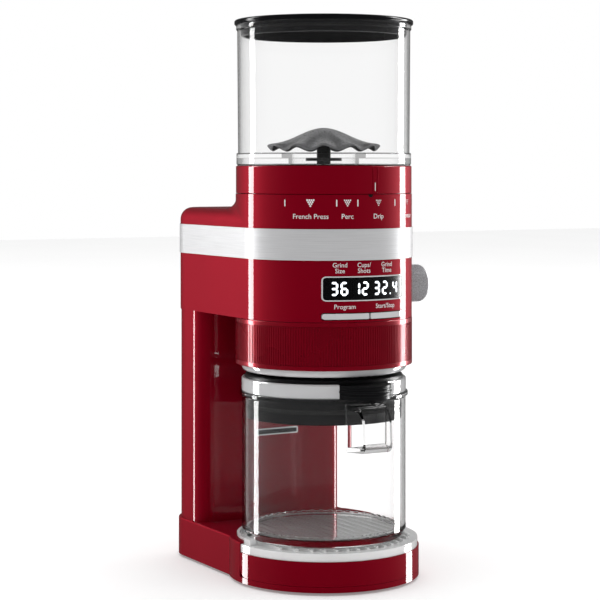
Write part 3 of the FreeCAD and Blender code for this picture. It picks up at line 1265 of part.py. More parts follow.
def make_jar_lid():
    """Dark plug and cap with a pouring lip, a bright band broken at the lip, and a seal."""
    plug = f"({JAR_BORE} - dim.plug_gap)"
    low = CAP_LOW
    band_top = f"({low} + dim.cap_band_height)"
    core = "(dim.outlet_radius - 2.4)"
    body = new_body("container_lid")
    bottom = "(dim.jar_top - dim.plug_depth)"
    profile = [
        (f"{plug} - 2.5", bottom), (plug, bottom, "1"), (plug, low), (core, low), (core, CAP_TOP, "2"),
        ("0", CAP_TOP), ("0", f"{CAP_TOP} - 3"), (f"{plug} - 2.5", f"{CAP_TOP} - 3")]
    revolve(body, outline(body, "section", "XZ", profile))
    lip = circles(body, "lip", "XY", [("0", "-dim.lip_centre", "dim.lip_radius")], low)
    pad(body, lip, "dim.lip_height")
    way = rectangle("-dim.chute_half_width - 1", "dim.chute_half_width + 1",
                    "-dim.chute_front - 1", f"-{CHUTE_REAR} + 1", "3")
    pocket(body, outline(body, "way_in", "XY", way, "dim.jar_top - dim.plug_depth - 1"),
           "dim.plug_depth + 30")
    keep(body, "container_lid")
    body = new_body("container_lid_band")
    ring = [(f"{core} + 0.02", low), ("dim.outlet_radius - 0.3", low, "0.8"),
            ("dim.outlet_radius - 0.3", band_top, "1.2"), (f"{core} + 0.02", band_top)]
    revolve(body, outline(body, "section", "XZ", ring))
    edge = "(dim.lip_radius + 0.3)"
    gap = rectangle(f"-{edge}", edge, "-dim.outlet_radius - 5", "0")
    pocket(body, outline(body, "lip_gap", "XY", gap, f"{low} - 1"), "dim.cap_band_height + 2")
    keep(body, "container_lid_band")
    seat = "(dim.jar_top - dim.plug_depth * 0.6)"
    turned("container_lid_seal", [
        (plug, seat), (f"{JAR_BORE} - dim.running_gap", f"{seat} + 0.6"),
        (f"{JAR_BORE} - dim.running_gap", f"{seat} + 2.4"), (plug, f"{seat} + 3")])


MAKERS = (
    make_base_housing, make_base_plate, make_feet, make_screws, make_cable_gland, make_column,
    make_rear_cover, make_dock, make_head_lower, make_band, make_head_upper, make_display,
    make_buttons, make_knob, make_rings, make_gears, make_gear_plates, make_motor, make_main_board,
    make_chamber, make_chute, make_burr_spindle, make_upper_burr, make_collar, make_hopper,
    make_hopper_lid, make_tray, make_jar, make_jar_lid,
)
for maker in MAKERS:
    maker()
doc.recompute()

for item in doc.Objects:
    if "Invalid" in item.State or "Error" in item.State:
        raise RuntimeError(f"{item.Name} failed: {item.State}")
for label, item in nodes.items():
    if item.Shape.isNull() or not item.Shape.isValid() or not item.Shape.Solids:
        raise RuntimeError(f"{label} has no valid solid")

os.makedirs("parts", exist_ok=True)
for label, item in nodes.items():
    item.Shape.exportStep(f"parts/{label}.step")
print(len(nodes), "pieces written")
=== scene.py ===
import math

import bmesh
import bpy
from bpy.props import FloatProperty, FloatVectorProperty, IntProperty, PointerProperty
from mathutils import Matrix, Vector


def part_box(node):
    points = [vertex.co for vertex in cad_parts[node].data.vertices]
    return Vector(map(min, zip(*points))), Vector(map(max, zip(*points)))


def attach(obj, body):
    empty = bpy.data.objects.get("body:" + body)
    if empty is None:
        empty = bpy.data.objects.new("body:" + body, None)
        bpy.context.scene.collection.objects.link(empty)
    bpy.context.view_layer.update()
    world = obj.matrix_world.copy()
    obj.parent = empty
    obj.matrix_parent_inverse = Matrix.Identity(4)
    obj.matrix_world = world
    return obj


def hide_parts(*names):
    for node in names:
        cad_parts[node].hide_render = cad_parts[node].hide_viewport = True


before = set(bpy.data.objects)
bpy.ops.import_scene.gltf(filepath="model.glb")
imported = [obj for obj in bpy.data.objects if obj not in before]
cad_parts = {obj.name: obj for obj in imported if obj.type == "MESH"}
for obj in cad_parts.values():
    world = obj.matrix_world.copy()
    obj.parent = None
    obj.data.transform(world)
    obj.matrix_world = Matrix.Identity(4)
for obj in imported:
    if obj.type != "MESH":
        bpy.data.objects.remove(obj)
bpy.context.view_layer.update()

bl_info = {
    "name": "Burr coffee grinder looks",
    "version": (1, 0, 0),
    "blender": (4, 5, 0),
    "location": "View3D > Sidebar > Grinder",
    "description": "Finishes, markings and fine moulded detail for the burr coffee grinder",
    "category": "Object",
}

MM = 0.001


# ---- places taken from the frame -------------------------------------------------------------------

def low(node):
    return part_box(node)[0]


def high(node):
    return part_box(node)[1]


RING_LOW, RING_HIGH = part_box("ribbed_ring")
AXIS = (RING_LOW + RING_HIGH) / 2
LENS_RADIUS = AXIS.y - low("display_lens").y
COLLAR_RADIUS = (high("grind_collar").x - low("grind_collar").x) / 2
DRUM_RADIUS = AXIS.y - low("head_lower_shell").y
BAND_TOP = high("metal_band").z
NECK_TOP = low("grind_collar").z
UMBRELLA_LOW, UMBRELLA_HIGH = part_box("bean_cone")
LIP_CENTRE = 54.5 * MM
JAR_RADIUS = 59.0 * MM

# How the grinder is seen: turn of the view from its front in degrees, distance and height of the eye
# in metres, focal length in millimetres on a 36 mm sensor, upward shift as a share of the frame's
# width, and how far the view points past the drum axis in degrees.
VIEW_TURN = 30.2
VIEW_DISTANCE = 1.334
VIEW_HEIGHT = 0.293
VIEW_LENS = 110.88
VIEW_SHIFT = -0.2191667
VIEW_SWING = 0.734746

# Studio: each tall side light has a turn from the view in degrees, a width and a share of the power.
STRIPS = (("strip_left", -107.0, 0.24, 1.0), ("strip_right", 123.0, 0.34, 1.4))
STRIP_DISTANCE = 1.25
STRIP_HEIGHT = 1.6
STRIP_MIDDLE = 0.5
TOP_LIGHT_SIZE = 5.0
TOP_LIGHT_PLACE = (0, 0.6, 2.6)
FLOOR_SIZE = 12.0
FLOOR_GLOW = 0.22
FRONT_MIRROR = 0.22
SHY_SHARE = 0.6

# Readout and print: figures and words with their turn round the drum in degrees.
FIGURES = (("3", -23.6), ("6", -17.2), ("1", -9.2), ("2", -3.2), ("3", 5.4), ("2", 12.0), ("4", 21.6))
POINT_TURN = 17.0
BREWS = (("French Press", -38.5), ("Perc", -15.2), ("Drip", 6.7), ("Espresso", 38.4))
TICK_TURNS = (-55.2, -22.1, -8.4, 21.5, 55.3)
MARK_RISE = 18.0 * MM
WORD_RISE = 8.6 * MM
UPPER_LINE = 7.6 * MM
LOWER_LINE = 3.6 * MM
UNDER_LINE = 3.9 * MM

# Ribbed ring: its plain rims, and how deep the groove between them is.
RING_RIM = 3.2 * MM
RING_GROOVE = 0.5 * MM


# ---- modelling helpers -----------------------------------------------------------------------------

def clear_selection():
    """Leave edit mode and select nothing."""
    if bpy.context.object and bpy.context.object.mode != "OBJECT":
        bpy.ops.object.mode_set(mode="OBJECT")
    bpy.ops.object.select_all(action="DESELECT")


def begin(name, primitive, **settings):
    """Add a primitive as a new named piece."""
    clear_selection()
    getattr(bpy.ops.mesh, f"primitive_{primitive}_add")(**settings)
    piece = bpy.context.object
    piece.name = piece.data.name = name
    return piece


def activate(piece):
    clear_selection()
    bpy.context.view_layer.objects.active = piece
    piece.select_set(True)


def edit(piece, mode="FACE"):
    """Enter edit mode on a piece with nothing selected."""
    activate(piece)
    bpy.ops.object.mode_set(mode="EDIT")
    bpy.ops.mesh.select_mode(type=mode)
    bpy.ops.mesh.select_all(action="DESELECT")


def choose(piece, test, kind="faces"):
    """Select the faces, edges or vertices of the edited piece that pass a test."""
    mesh = bmesh.from_edit_mesh(piece.data)
    for item in getattr(mesh, kind):
        item.select_set(bool(test(item)))
    mesh.select_flush_mode()
    bmesh.update_edit_mesh(piece.data)


def raise_flat(piece, thickness):
    """Give the flat piece being edited a thickness along Z, and leave edit mode."""
    bpy.ops.mesh.select_all(action="SELECT")
    bpy.ops.mesh.extrude_region_move(TRANSFORM_OT_translate={"value": (0, 0, thickness)})
    bpy.ops.mesh.select_all(action="SELECT")
    bpy.ops.mesh.normals_make_consistent(inside=False)
    bpy.ops.object.mode_set(mode="OBJECT")


def settle(piece):
    """Leave edit mode and move the object's place into its mesh."""
    activate(piece)
    bpy.ops.object.transform_apply(location=True, rotation=True, scale=True)
    return piece


def modify(piece, kind, **settings):
    """Add a modifier and apply it."""
    activate(piece)
    modifier = piece.modifiers.new(kind.title(), kind)
    for key, value in settings.items():
        setattr(modifier, key, value)
    bpy.ops.object.modifier_apply(modifier=modifier.name)


def smooth(piece, degrees=35.0):
    activate(piece)
    bpy.ops.object.shade_smooth_by_angle(angle=math.radians(degrees))


def twin(piece, name):
    """A copy of a piece with its own mesh."""
    copy = piece.copy()
    copy.data = piece.data.copy()
    copy.name = copy.data.name = name
    bpy.context.scene.collection.objects.link(copy)
    return copy


def gather(pieces, name):
    """Join pieces into one."""
    clear_selection()
    for piece in pieces:
        piece.select_set(True)
    bpy.context.view_layer.objects.active = pieces[0]
    if len(pieces) > 1:
        bpy.ops.object.join()
    whole = bpy.context.object
    whole.name = whole.data.name = name
    return settle(whole)


def finish_piece(piece, material, body):
    """Give a finished piece its material and body."""
    piece.data.materials.clear()
    piece.data.materials.append(material)
    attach(piece, body)
    return piece


def wrap(piece, radius, degrees, height):
    """Bend a flat piece, drawn in X and Y with thickness along Z, round the drum axis.
    degrees is counted from the front towards +X."""
    turn = math.radians(degrees)
    for vertex in piece.data.vertices:
        angle = turn + vertex.co.x / radius
        reach = radius + vertex.co.z
        vertex.co = Vector((AXIS.x + reach * math.sin(angle), AXIS.y - reach * math.cos(angle),
                            height + vertex.co.y))
    piece.data.update()
    return piece


def lathe(name, profile, steps=96):
    """Spin a half section, (radius, height) from the drum axis, into a closed ring or solid."""
    piece = begin(name, "circle", vertices=3, radius=MM, fill_type="NOTHING")
    edit(piece, "VERT")
    bpy.ops.mesh.select_all(action="SELECT")
    bpy.ops.mesh.delete(type="VERT")
    mesh = bmesh.from_edit_mesh(piece.data)
    spots = [mesh.verts.new((radius, 0, z)) for radius, z in profile]
    for first, second in zip(spots, spots[1:] + spots[:1]):
        mesh.edges.new((first, second))
    bmesh.update_edit_mesh(piece.data)
    bpy.ops.mesh.select_all(action="SELECT")
    bpy.ops.mesh.spin(steps=steps, angle=2 * math.pi, center=(0, 0, 0), axis=(0, 0, 1))
    bpy.ops.mesh.select_all(action="SELECT")
    bpy.ops.mesh.remove_doubles(threshold=0.00001)
    bpy.ops.mesh.normals_make_consistent(inside=False)
    bpy.ops.object.mode_set(mode="OBJECT")
    piece.location = (AXIS.x, AXIS.y, 0)
    return settle(piece)


# ---- materials -------------------------------------------------------------------------------------

def new_material(name, **sockets):
    """A principled material; sockets are set on the shader itself."""
    material = bpy.data.materials.new(f"{name}_finish")
    material.use_nodes = True
    shader = material.node_tree.nodes["Principled BSDF"]
    for key, value in sockets.items():
        shader.inputs[key.replace("_", " ")].default_value = value
    return material


def add_node(material, kind, **sockets):
    node = material.node_tree.nodes.new(f"ShaderNode{kind}")
    for key, value in sockets.items():
        node.inputs[key.replace("_", " ")].default_value = value
    return node


def join_nodes(material, source, target):
    material.node_tree.links.new(source, target)


def object_place(material, scale=(1.0, 1.0, 1.0)):
    """Object coordinates, stretched."""
    place = add_node(material, "TexCoord")
    mapping = add_node(material, "Mapping", Scale=scale)
    join_nodes(material, place.outputs["Object"], mapping.inputs["Vector"])
    return mapping.outputs["Vector"]


def noise(material, scale, detail=2.0, stretch=(1.0, 1.0, 1.0)):
    pattern = add_node(material, "TexNoise", Scale=scale, Detail=detail)
    join_nodes(material, object_place(material, stretch), pattern.inputs["Vector"])
    return pattern.outputs["Fac"]


def spread(material, source, from_low, from_high, to_low, to_high):
    """Map a grey pattern to a narrow range."""
    band = add_node(material, "MapRange")
    for key, value in (("From Min", from_low), ("From Max", from_high),
                       ("To Min", to_low), ("To Max", to_high)):
        band.inputs[key].default_value = value
    join_nodes(material, source, band.inputs["Value"])
    return band.outputs["Result"]


def two_tone(material, source, first, second):
    """Blend two colours by a grey pattern into the shader's colour."""
    ramp = add_node(material, "ValToRGB")
    ramp.color_ramp.elements[0].position = 0.3
    ramp.color_ramp.elements[0].color = first
    ramp.color_ramp.elements[1].position = 0.7
    ramp.color_ramp.elements[1].color = second
    join_nodes(material, source, ramp.inputs["Fac"])
    shader = material.node_tree.nodes["Principled BSDF"]
    join_nodes(material, ramp.outputs["Color"], shader.inputs["Base Color"])


def relief(material, source, strength, distance):
    """Fine bump from a grey pattern."""
    bump = add_node(material, "Bump", Strength=strength, Distance=distance)
    join_nodes(material, source, bump.inputs["Height"])
    shader = material.node_tree.nodes["Principled BSDF"]
    join_nodes(material, bump.outputs["Normal"], shader.inputs["Normal"])


def shade(material, source, socket="Roughness"):
    shader = material.node_tree.nodes["Principled BSDF"]
    join_nodes(material, source, shader.inputs[socket])


def tinted(colour, factor):
    return tuple(min(1.0, part * factor) for part in colour[:3]) + (1.0,)


def make_paint(name, looks, coat):
    """Deep red metal flake paint under a clear coat, with faint orange peel."""
    paint = new_material(name, Metallic=0.32, Coat_Weight=coat, Coat_Roughness=0.015, Coat_IOR=1.5,
                         Specular_IOR_Level=0.0)
    colour = looks.paint_colour
    two_tone(paint, noise(paint, 9.0, 3.0), tinted(colour, 0.94), tinted(colour, 1.06))
    shade(paint, spread(paint, noise(paint, 2200.0, 1.0), 0.3, 0.7, 0.46, 0.54))
    relief(paint, noise(paint, 260.0, 1.0), 0.05, 0.0001)
    return paint


def make_rib_red(looks):
    """Gloss red moulding of the ribbed ring."""
    material = new_material("red_rib", Metallic=0.4, Coat_Weight=0.5, Coat_Roughness=0.03, Coat_IOR=1.5,
                            Specular_IOR_Level=0.1)
    colour = looks.paint_colour
    two_tone(material, noise(material, 30.0), tinted(colour, 1.0), tinted(colour, 1.1))
    shade(material, spread(material, noise(material, 40.0), 0.3, 0.7, 0.26, 0.32))
    return material


def make_brushed(name, colour, roughness, streak, metallic=1.0):
    """Metal brushed round the piece: fine level streaks."""
    metal = new_material(name, Metallic=metallic, Anisotropic=0.5)
    two_tone(metal, noise(metal, 4.0, 4.0, (8.0, 8.0, streak)), tinted(colour, 0.9), tinted(colour, 1.06))
    fine = noise(metal, 10.0, 3.0, (6.0, 6.0, streak * 1.6))
    shade(metal, spread(metal, fine, 0.3, 0.7, roughness - 0.07, roughness + 0.08))
    relief(metal, fine, 0.12, 0.00005)
    return metal


def make_polished(name, colour, roughness, metallic=0.3):
    """Bright plated metal with faint handling marks."""
    metal = new_material(name, Metallic=metallic)
    two_tone(metal, noise(metal, 40.0), tinted(colour, 0.96), tinted(colour, 1.03))
    shade(metal, spread(metal, noise(metal, 120.0, 4.0), 0.35, 0.75, roughness, roughness + 0.06))
    return metal


def make_satin(name, colour, roughness, grain=900.0, metallic=0.0, sheen=0.5):
    """Moulded or plated satin surface with a fine spark texture."""
    material = new_material(name, Metallic=metallic, Specular_IOR_Level=sheen)
    two_tone(material, noise(material, 60.0, 3.0), tinted(colour, 0.9), tinted(colour, 1.08))
    shade(material, spread(material, noise(material, grain), 0.3, 0.7, roughness - 0.06, roughness + 0.06))
    relief(material, noise(material, grain, 2.0), 0.15, 0.0001)
    return material


def make_clear(name, colour, ior, roughness):
    """Clear moulded plastic or pressed glass, faintly wavy."""
    material = new_material(name, Transmission_Weight=1.0, IOR=ior, Base_Color=colour)
    shade(material, spread(material, noise(material, 30.0), 0.3, 0.7, roughness, roughness + 0.01))
    relief(material, noise(material, 24.0, 1.0), 0.03, 0.0004)
    return material


def make_print(name, colour):
    """Opaque printed ink."""
    material = new_material(name, Roughness=0.45)
    two_tone(material, noise(material, 500.0), tinted(colour, 0.97), tinted(colour, 1.0))
    return material


def make_glow(name, colour, strength):
    """Lit segment of the readout."""
    material = new_material(name, Roughness=0.4, Emission_Strength=strength, Emission_Color=colour)
    two_tone(material, noise(material, 300.0), tinted(colour, 0.97), tinted(colour, 1.0))
    return material


def material(name):
    """The finish made under a name."""
    return bpy.data.materials[f"{name}_finish"]


# Which finish each CAD node wears.
NODE_FINISH = {
    "dock_paint": ["dock_panel"],
    "red_paint": ["base_housing", "column_housing", "rear_cover", "head_lower_shell",
                  "head_upper_shell", "grind_collar", "tray_skirt"],
    "red_rib": ["ribbed_ring"],
    "brushed_band": ["metal_band"],
    "chrome": ["dock_slot_frame", "display_bezel", "outlet_ring", "container_lid_band",
               "program_button", "start_stop_button"],
    "tray_white": ["tray"],
    "silver_satin": ["knob"],
    "black_moulding": ["base_plate", "tact_switches", "grind_chute", "collar_track", "adjuster_ring",
                       "burr_carrier", "bayonet_ring", "cone_stem", "gate_disc", "sweeper", "container_lid"],
    "display_black": ["display_lens"],
    "clear_hopper": ["hopper", "hopper_base"],
    "jar_glass": ["jar"],
    "smoked_black": ["hopper_lid"],
    "cone_grey": ["bean_cone"],
    "rubber": ["rubber_feet", "cable_gland", "hopper_seal", "hopper_lid_seal", "container_lid_seal"],
    "burr_steel": ["ring_burr", "drive_shaft", "cone_burr", "burr_nut", "motor_shaft", "idler_pin"],
    "gear_nylon": ["main_gear", "idler_gear"],
    "cast_alloy": ["gear_plate", "gearbox_cover", "grind_chamber"],
    "board_green": ["display_board", "main_board"],
    "plated_steel": ["case_screws", "motor_can", "motor_end_plate", "motor_armature", "knob_encoder"],
    "brass": ["shaft_bearings", "motor_pinion"],
}


# ---- settings --------------------------------------------------------------------------------------

class GrinderLooks(bpy.types.PropertyGroup):
    """Colours and light."""
    paint_colour: FloatVectorProperty(
        name="Paint", description="Colour of the painted casings", subtype="COLOR", size=3,
        min=0.0, max=1.0, default=(0.27, 0.001, 0.012))
    print_colour: FloatVectorProperty(
        name="Print", description="Colour of the printed marks", subtype="COLOR", size=3,
        min=0.0, max=1.0, default=(0.85, 0.84, 0.84))
    strip_power: FloatProperty(
        name="Strip lights", description="Power of each tall side light", default=24.0, unit="POWER")
    top_power: FloatProperty(
        name="Top light", description="Power of the large light overhead", default=45.0, unit="POWER")
    sky_level: FloatProperty(
        name="Surroundings", description="Brightness of the studio around", default=0.85)
    mirror_level: FloatProperty(
        name="Reflections", description="Brightness of the studio where it is mirrored", default=0.09)


class GrinderSizes(bpy.types.PropertyGroup):
    """Fine detail that the CAD model leaves out."""
    rib_count: IntProperty(name="Ribs", description="Ribs round the ring under the head", default=210, min=24)
    rib_height: FloatProperty(
        name="Rib height", description="How far each rib stands out", default=0.45 * MM, unit="LENGTH")
    knurl_count: IntProperty(name="Knurls", description="Ridges round the side knob", default=72, min=12)
    knurl_height: FloatProperty(
        name="Knurl height", description="How far each ridge stands out", default=0.35 * MM, unit="LENGTH")
    flute_count: IntProperty(name="Flutes", description="Flutes of the bean cone", default=12, min=3)
    digit_height: FloatProperty(
        name="Digit height", description="Height of the readout's digits", default=9.6 * MM, unit="LENGTH")
    label_height: FloatProperty(
        name="Label height", description="Height of the small printed words", default=4.5 * MM, unit="LENGTH")
    mark_thickness: FloatProperty(
        name="Ink", description="Thickness of print above its surface", default=0.06 * MM, unit="LENGTH")


def looks():
    return bpy.context.scene.grinder_looks


def sizes():
    return bpy.context.scene.grinder_sizes


# ---- operators -------------------------------------------------------------------------------------

class GRINDER_OT_finishes(bpy.types.Operator):
    """Make every finish and give each CAD node its own"""
    bl_idname = "grinder.finishes"
    bl_label = "Finishes"

    def execute(self, context):
        make_paint("red_paint", looks(), 0.6)
        make_paint("dock_paint", looks(), 0.35)
        make_rib_red(looks())
        make_brushed("brushed_band", (0.62, 0.62, 0.63), 0.34, 700.0, metallic=0.10)
        make_polished("chrome", (0.86, 0.86, 0.87), 0.07)
        make_polished("tray_white", (0.95, 0.95, 0.95), 0.12, metallic=0.05)
        make_satin("silver_satin", (0.60, 0.60, 0.62), 0.28, 1400.0, metallic=0.4)
        make_satin("black_moulding", (0.008, 0.008, 0.009), 0.34, sheen=0.2)
        make_satin("display_black", (0.003, 0.003, 0.004), 0.25, 2000.0)
        make_clear("clear_hopper", (0.99, 0.99, 0.99, 1.0), 1.32, 0.0)
        make_clear("jar_glass", (0.99, 0.99, 0.99, 1.0), 1.30, 0.0)
        make_satin("smoked_black", (0.006, 0.006, 0.007), 0.16, 700.0, sheen=0.12)
        make_satin("cone_grey", (0.17, 0.17, 0.175), 0.30)
        make_satin("rubber", (0.012, 0.012, 0.012), 0.65, 500.0)
        make_brushed("burr_steel", (0.55, 0.55, 0.56), 0.35, 300.0)
        make_satin("gear_nylon", (0.72, 0.70, 0.64), 0.5)
        make_satin("cast_alloy", (0.5, 0.5, 0.52), 0.45, 300.0, metallic=0.9)
        make_satin("board_green", (0.01, 0.12, 0.04), 0.4)
        make_satin("plated_steel", (0.45, 0.45, 0.46), 0.35, 400.0, metallic=1.0)
        make_satin("brass", (0.62, 0.43, 0.16), 0.3, 400.0, metallic=1.0)
        make_print("white_print", looks().print_colour)
        make_glow("lit_segment", (0.9, 0.95, 1.0, 1.0), 1.6)
        for finish, names in NODE_FINISH.items():
            for name in names:
                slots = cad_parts[name].data.materials
                slots.clear()
                slots.append(material(finish))
        missed = set(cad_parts) - {name for names in NODE_FINISH.values() for name in names}
        if missed:
            raise RuntimeError(f"no finish for {sorted(missed)}")
        return {"FINISHED"}


def raised_ribs(name, radius, count, height, length):
    """A tube whose every other face stands out as a rib, upright about the origin."""
    tube = begin(name, "cylinder", vertices=2 * count, radius=radius, depth=length, end_fill_type="NOTHING")
    edit(tube)
    step = math.pi / count

    def every_other(face):
        middle = face.calc_center_median()
        place = math.atan2(middle.y, middle.x) / step
        return int(math.floor(place)) % 2 == 0

    choose(tube, every_other)
    bpy.ops.mesh.inset(thickness=0.06 * MM, depth=height, use_individual=True)
    bpy.ops.object.mode_set(mode="OBJECT")
    modify(tube, "SOLIDIFY", thickness=0.3 * MM, offset=-1.0)
    return tube


class GRINDER_OT_ring_ribs(bpy.types.Operator):
    """Fine upright ribs round the ring under the head"""
    bl_idname = "grinder.ring_ribs"
    bl_label = "Ring ribs"

    def execute(self, context):
        groove = (RING_HIGH.x - RING_LOW.x) / 2 - RING_GROOVE
        length = RING_HIGH.z - RING_LOW.z - 2 * RING_RIM - 0.4 * MM
        ribs = raised_ribs("ring_ribs", groove + 0.02 * MM, sizes().rib_count, sizes().rib_height, length)
        ribs.location = (AXIS.x, AXIS.y, AXIS.z)
        settle(ribs)
        finish_piece(ribs, material("red_rib"), "machine")
        return {"FINISHED"}


class GRINDER_OT_knob_knurl(bpy.types.Operator):
    """Ridges round the side knob"""
    bl_idname = "grinder.knob_knurl"
    bl_label = "Knob knurl"

    def execute(self, context):
        knob_low, knob_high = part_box("knob")
        radius = (knob_high.z - knob_low.z) / 2
        stand = 1.8 * MM
        length = knob_high.x - (AXIS.x + DRUM_RADIUS) - 2 * stand - 1.2 * MM
        knurl = raised_ribs("knob_knurl", radius, sizes().knurl_count, sizes().knurl_height, length)
        activate(knurl)
        knurl.rotation_euler = (0, math.pi / 2, 0)
        knurl.location = (knob_high.x - stand - length / 2, AXIS.y, (knob_low.z + knob_high.z) / 2)
        settle(knurl)
        smooth(knurl, 20)
        finish_piece(knurl, material("silver_satin"), "side_knob")
        return {"FINISHED"}


class GRINDER_OT_bean_cone(bpy.types.Operator):
    """Fluted cone that spreads the beans, with a rolled scalloped edge"""
    bl_idname = "grinder.bean_cone"
    bl_label = "Bean cone"

    def execute(self, context):
        flutes = sizes().flute_count
        radius = (UMBRELLA_HIGH.x - UMBRELLA_LOW.x) / 2
        rise = UMBRELLA_HIGH.z - UMBRELLA_LOW.z
        around = flutes * 8
        cone = begin("fluted_cone", "circle", vertices=around, radius=1.2 * MM, fill_type="NGON")
        rings = 14
        edit(cone, "EDGE")
        choose(cone, lambda edge: edge.is_boundary or len(edge.link_faces) == 1, "edges")
        previous = 1.2 * MM
        for ring in range(1, rings + 1):
            share = ring / rings
            reach = radius * (0.03 + 0.97 * share)
            bpy.ops.mesh.extrude_edges_move()
            bpy.ops.transform.resize(value=(reach / previous, reach / previous, 1.0))
            previous = reach
        bpy.ops.object.mode_set(mode="OBJECT")
        for vertex in cone.data.vertices:
            spot = vertex.co
            reach = math.hypot(spot.x, spot.y)
            share = min(1.0, reach / radius)
            angle = math.atan2(spot.y, spot.x)
            wave = math.cos(flutes * angle)
            drop = rise * 0.80 * math.sin(math.pi / 2 * share) ** 1.9
            swing = 2.0 * MM * max(0.0, (share - 0.45) / 0.55) ** 1.5
            lip = 1.5 * MM * max(0.0, (share - 0.9) / 0.1) ** 2
            spot.z = UMBRELLA_HIGH.z - drop + swing * wave - lip
            pinch = 1 - 0.03 * (1 - wave) * share ** 3
            spot.x *= pinch
            spot.y *= pinch
        cone.location = (AXIS.x, AXIS.y, 0)
        settle(cone)
        modify(cone, "SOLIDIFY", thickness=1.6 * MM, offset=-1.0)
        modify(cone, "SUBSURF", levels=1, render_levels=1)
        smooth(cone, 60)
        finish_piece(cone, material("cone_grey"), "bean_hopper")
        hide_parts("bean_cone")
        return {"FINISHED"}


# Segments of a digit: a top, b and c right, d bottom, e and f left, g middle.
SEGMENTS = {
    "0": "abcdef", "1": "bc", "2": "abged", "3": "abgcd", "4": "fgbc",
    "5": "afgcd", "6": "afgedc", "7": "abc", "8": "abcdefg", "9": "abcdfg",
}


def bar(name, length, width, thickness):
    """A flat bar with pointed ends along X, in the XY plane."""
    piece = begin(name, "plane", size=1.0)
    piece.scale = (length - width, width, 1)
    settle(piece)
    edit(piece, "EDGE")
    near_end = (length - width) * 0.49
    for side in (-1, 1):
        choose(piece, lambda edge, side=side: all(side * v.co.x > near_end for v in edge.verts), "edges")
        bpy.ops.mesh.subdivide(number_cuts=1)
        choose(piece, lambda v, side=side: side * v.co.x > near_end and abs(v.co.y) < width * 0.1, "verts")
        bpy.ops.transform.translate(value=(side * width * 0.5, 0, 0))
    raise_flat(piece, thickness)
    return piece


def digit(figure, height, thickness):
    """One lit figure, drawn flat about its centre with a slight slant."""
    width = height * 0.56
    stroke = height * 0.155
    half = (height - stroke) / 2
    side = (width - stroke) / 2
    level_bar = bar("level_bar", width - stroke * 1.25, stroke, thickness)
    tall_bar = bar("tall_bar", half - stroke * 0.25, stroke, thickness)
    tall_bar.rotation_euler = (0, 0, math.pi / 2)
    settle(tall_bar)
    spots = {
        "a": (level_bar, 0, half), "g": (level_bar, 0, 0), "d": (level_bar, 0, -half),
        "b": (tall_bar, side, half / 2), "c": (tall_bar, side, -half / 2),
        "e": (tall_bar, -side, -half / 2), "f": (tall_bar, -side, half / 2),
    }
    lit = []
    for letter in SEGMENTS[figure]:
        source, x, y = spots[letter]
        piece = twin(source, f"segment_{letter}")
        piece.location = (x, y, 0)
        settle(piece)
        lit.append(piece)
    for source in (level_bar, tall_bar):
        bpy.data.objects.remove(source)
    return gather(lit, "digit")


class GRINDER_OT_readout(bpy.types.Operator):
    """Lit figures behind the display lens: setting, cups and seconds"""
    bl_idname = "grinder.readout"
    bl_label = "Readout"

    def execute(self, context):
        tall = sizes().digit_height
        middle = (low("display_lens").z + high("display_lens").z) / 2
        pieces = []
        for figure, degrees in FIGURES:
            piece = digit(figure, tall, sizes().mark_thickness)
            pieces.append(wrap(piece, LENS_RADIUS, degrees, middle))
        point = bar("point", 1.5 * MM, 1.2 * MM, sizes().mark_thickness)
        pieces.append(wrap(point, LENS_RADIUS, POINT_TURN, middle - tall / 2 + 0.6 * MM))
        readout = gather(pieces, "readout_digits")
        finish_piece(readout, material("lit_segment"), "machine")
        return {"FINISHED"}


def word(text, height, degrees, z, radius):
    """A printed word bent round the drum."""
    clear_selection()
    bpy.ops.object.text_add()
    letters = bpy.context.object
    letters.data.body = text
    letters.data.size = height
    letters.data.align_x = "CENTER"
    letters.data.align_y = "CENTER"
    letters.data.extrude = sizes().mark_thickness / 2
    letters.data.resolution_u = 3
    activate(letters)
    bpy.ops.object.convert(target="MESH")
    piece = bpy.context.object
    return wrap(piece, radius + sizes().mark_thickness / 2, degrees, z)


class GRINDER_OT_labels(bpy.types.Operator):
    """Small generic words round the display and the grind scale"""
    bl_idname = "grinder.labels"
    bl_label = "Labels"

    def execute(self, context):
        tall = sizes().label_height
        top = high("display_bezel").z
        bottom = low("display_bezel").z - UNDER_LINE
        lines = [
            ("Grind", -20.0, top + UPPER_LINE), ("Size", -20.0, top + LOWER_LINE),
            ("Cups/", -4.0, top + UPPER_LINE), ("Shots", -4.0, top + LOWER_LINE),
            ("Grind", 13.6, top + UPPER_LINE), ("Time", 13.6, top + LOWER_LINE),
            ("Program", -16.8, bottom), ("Start/Stop", 12.6, bottom),
        ]
        pieces = [word(text, tall, degrees, z, DRUM_RADIUS) for text, degrees, z in lines]
        pieces += [word(text, tall * 1.08, degrees, BAND_TOP + WORD_RISE, DRUM_RADIUS)
                   for text, degrees in BREWS]
        labels = gather(pieces, "printed_words")
        finish_piece(labels, material("white_print"), "machine")
        return {"FINISHED"}


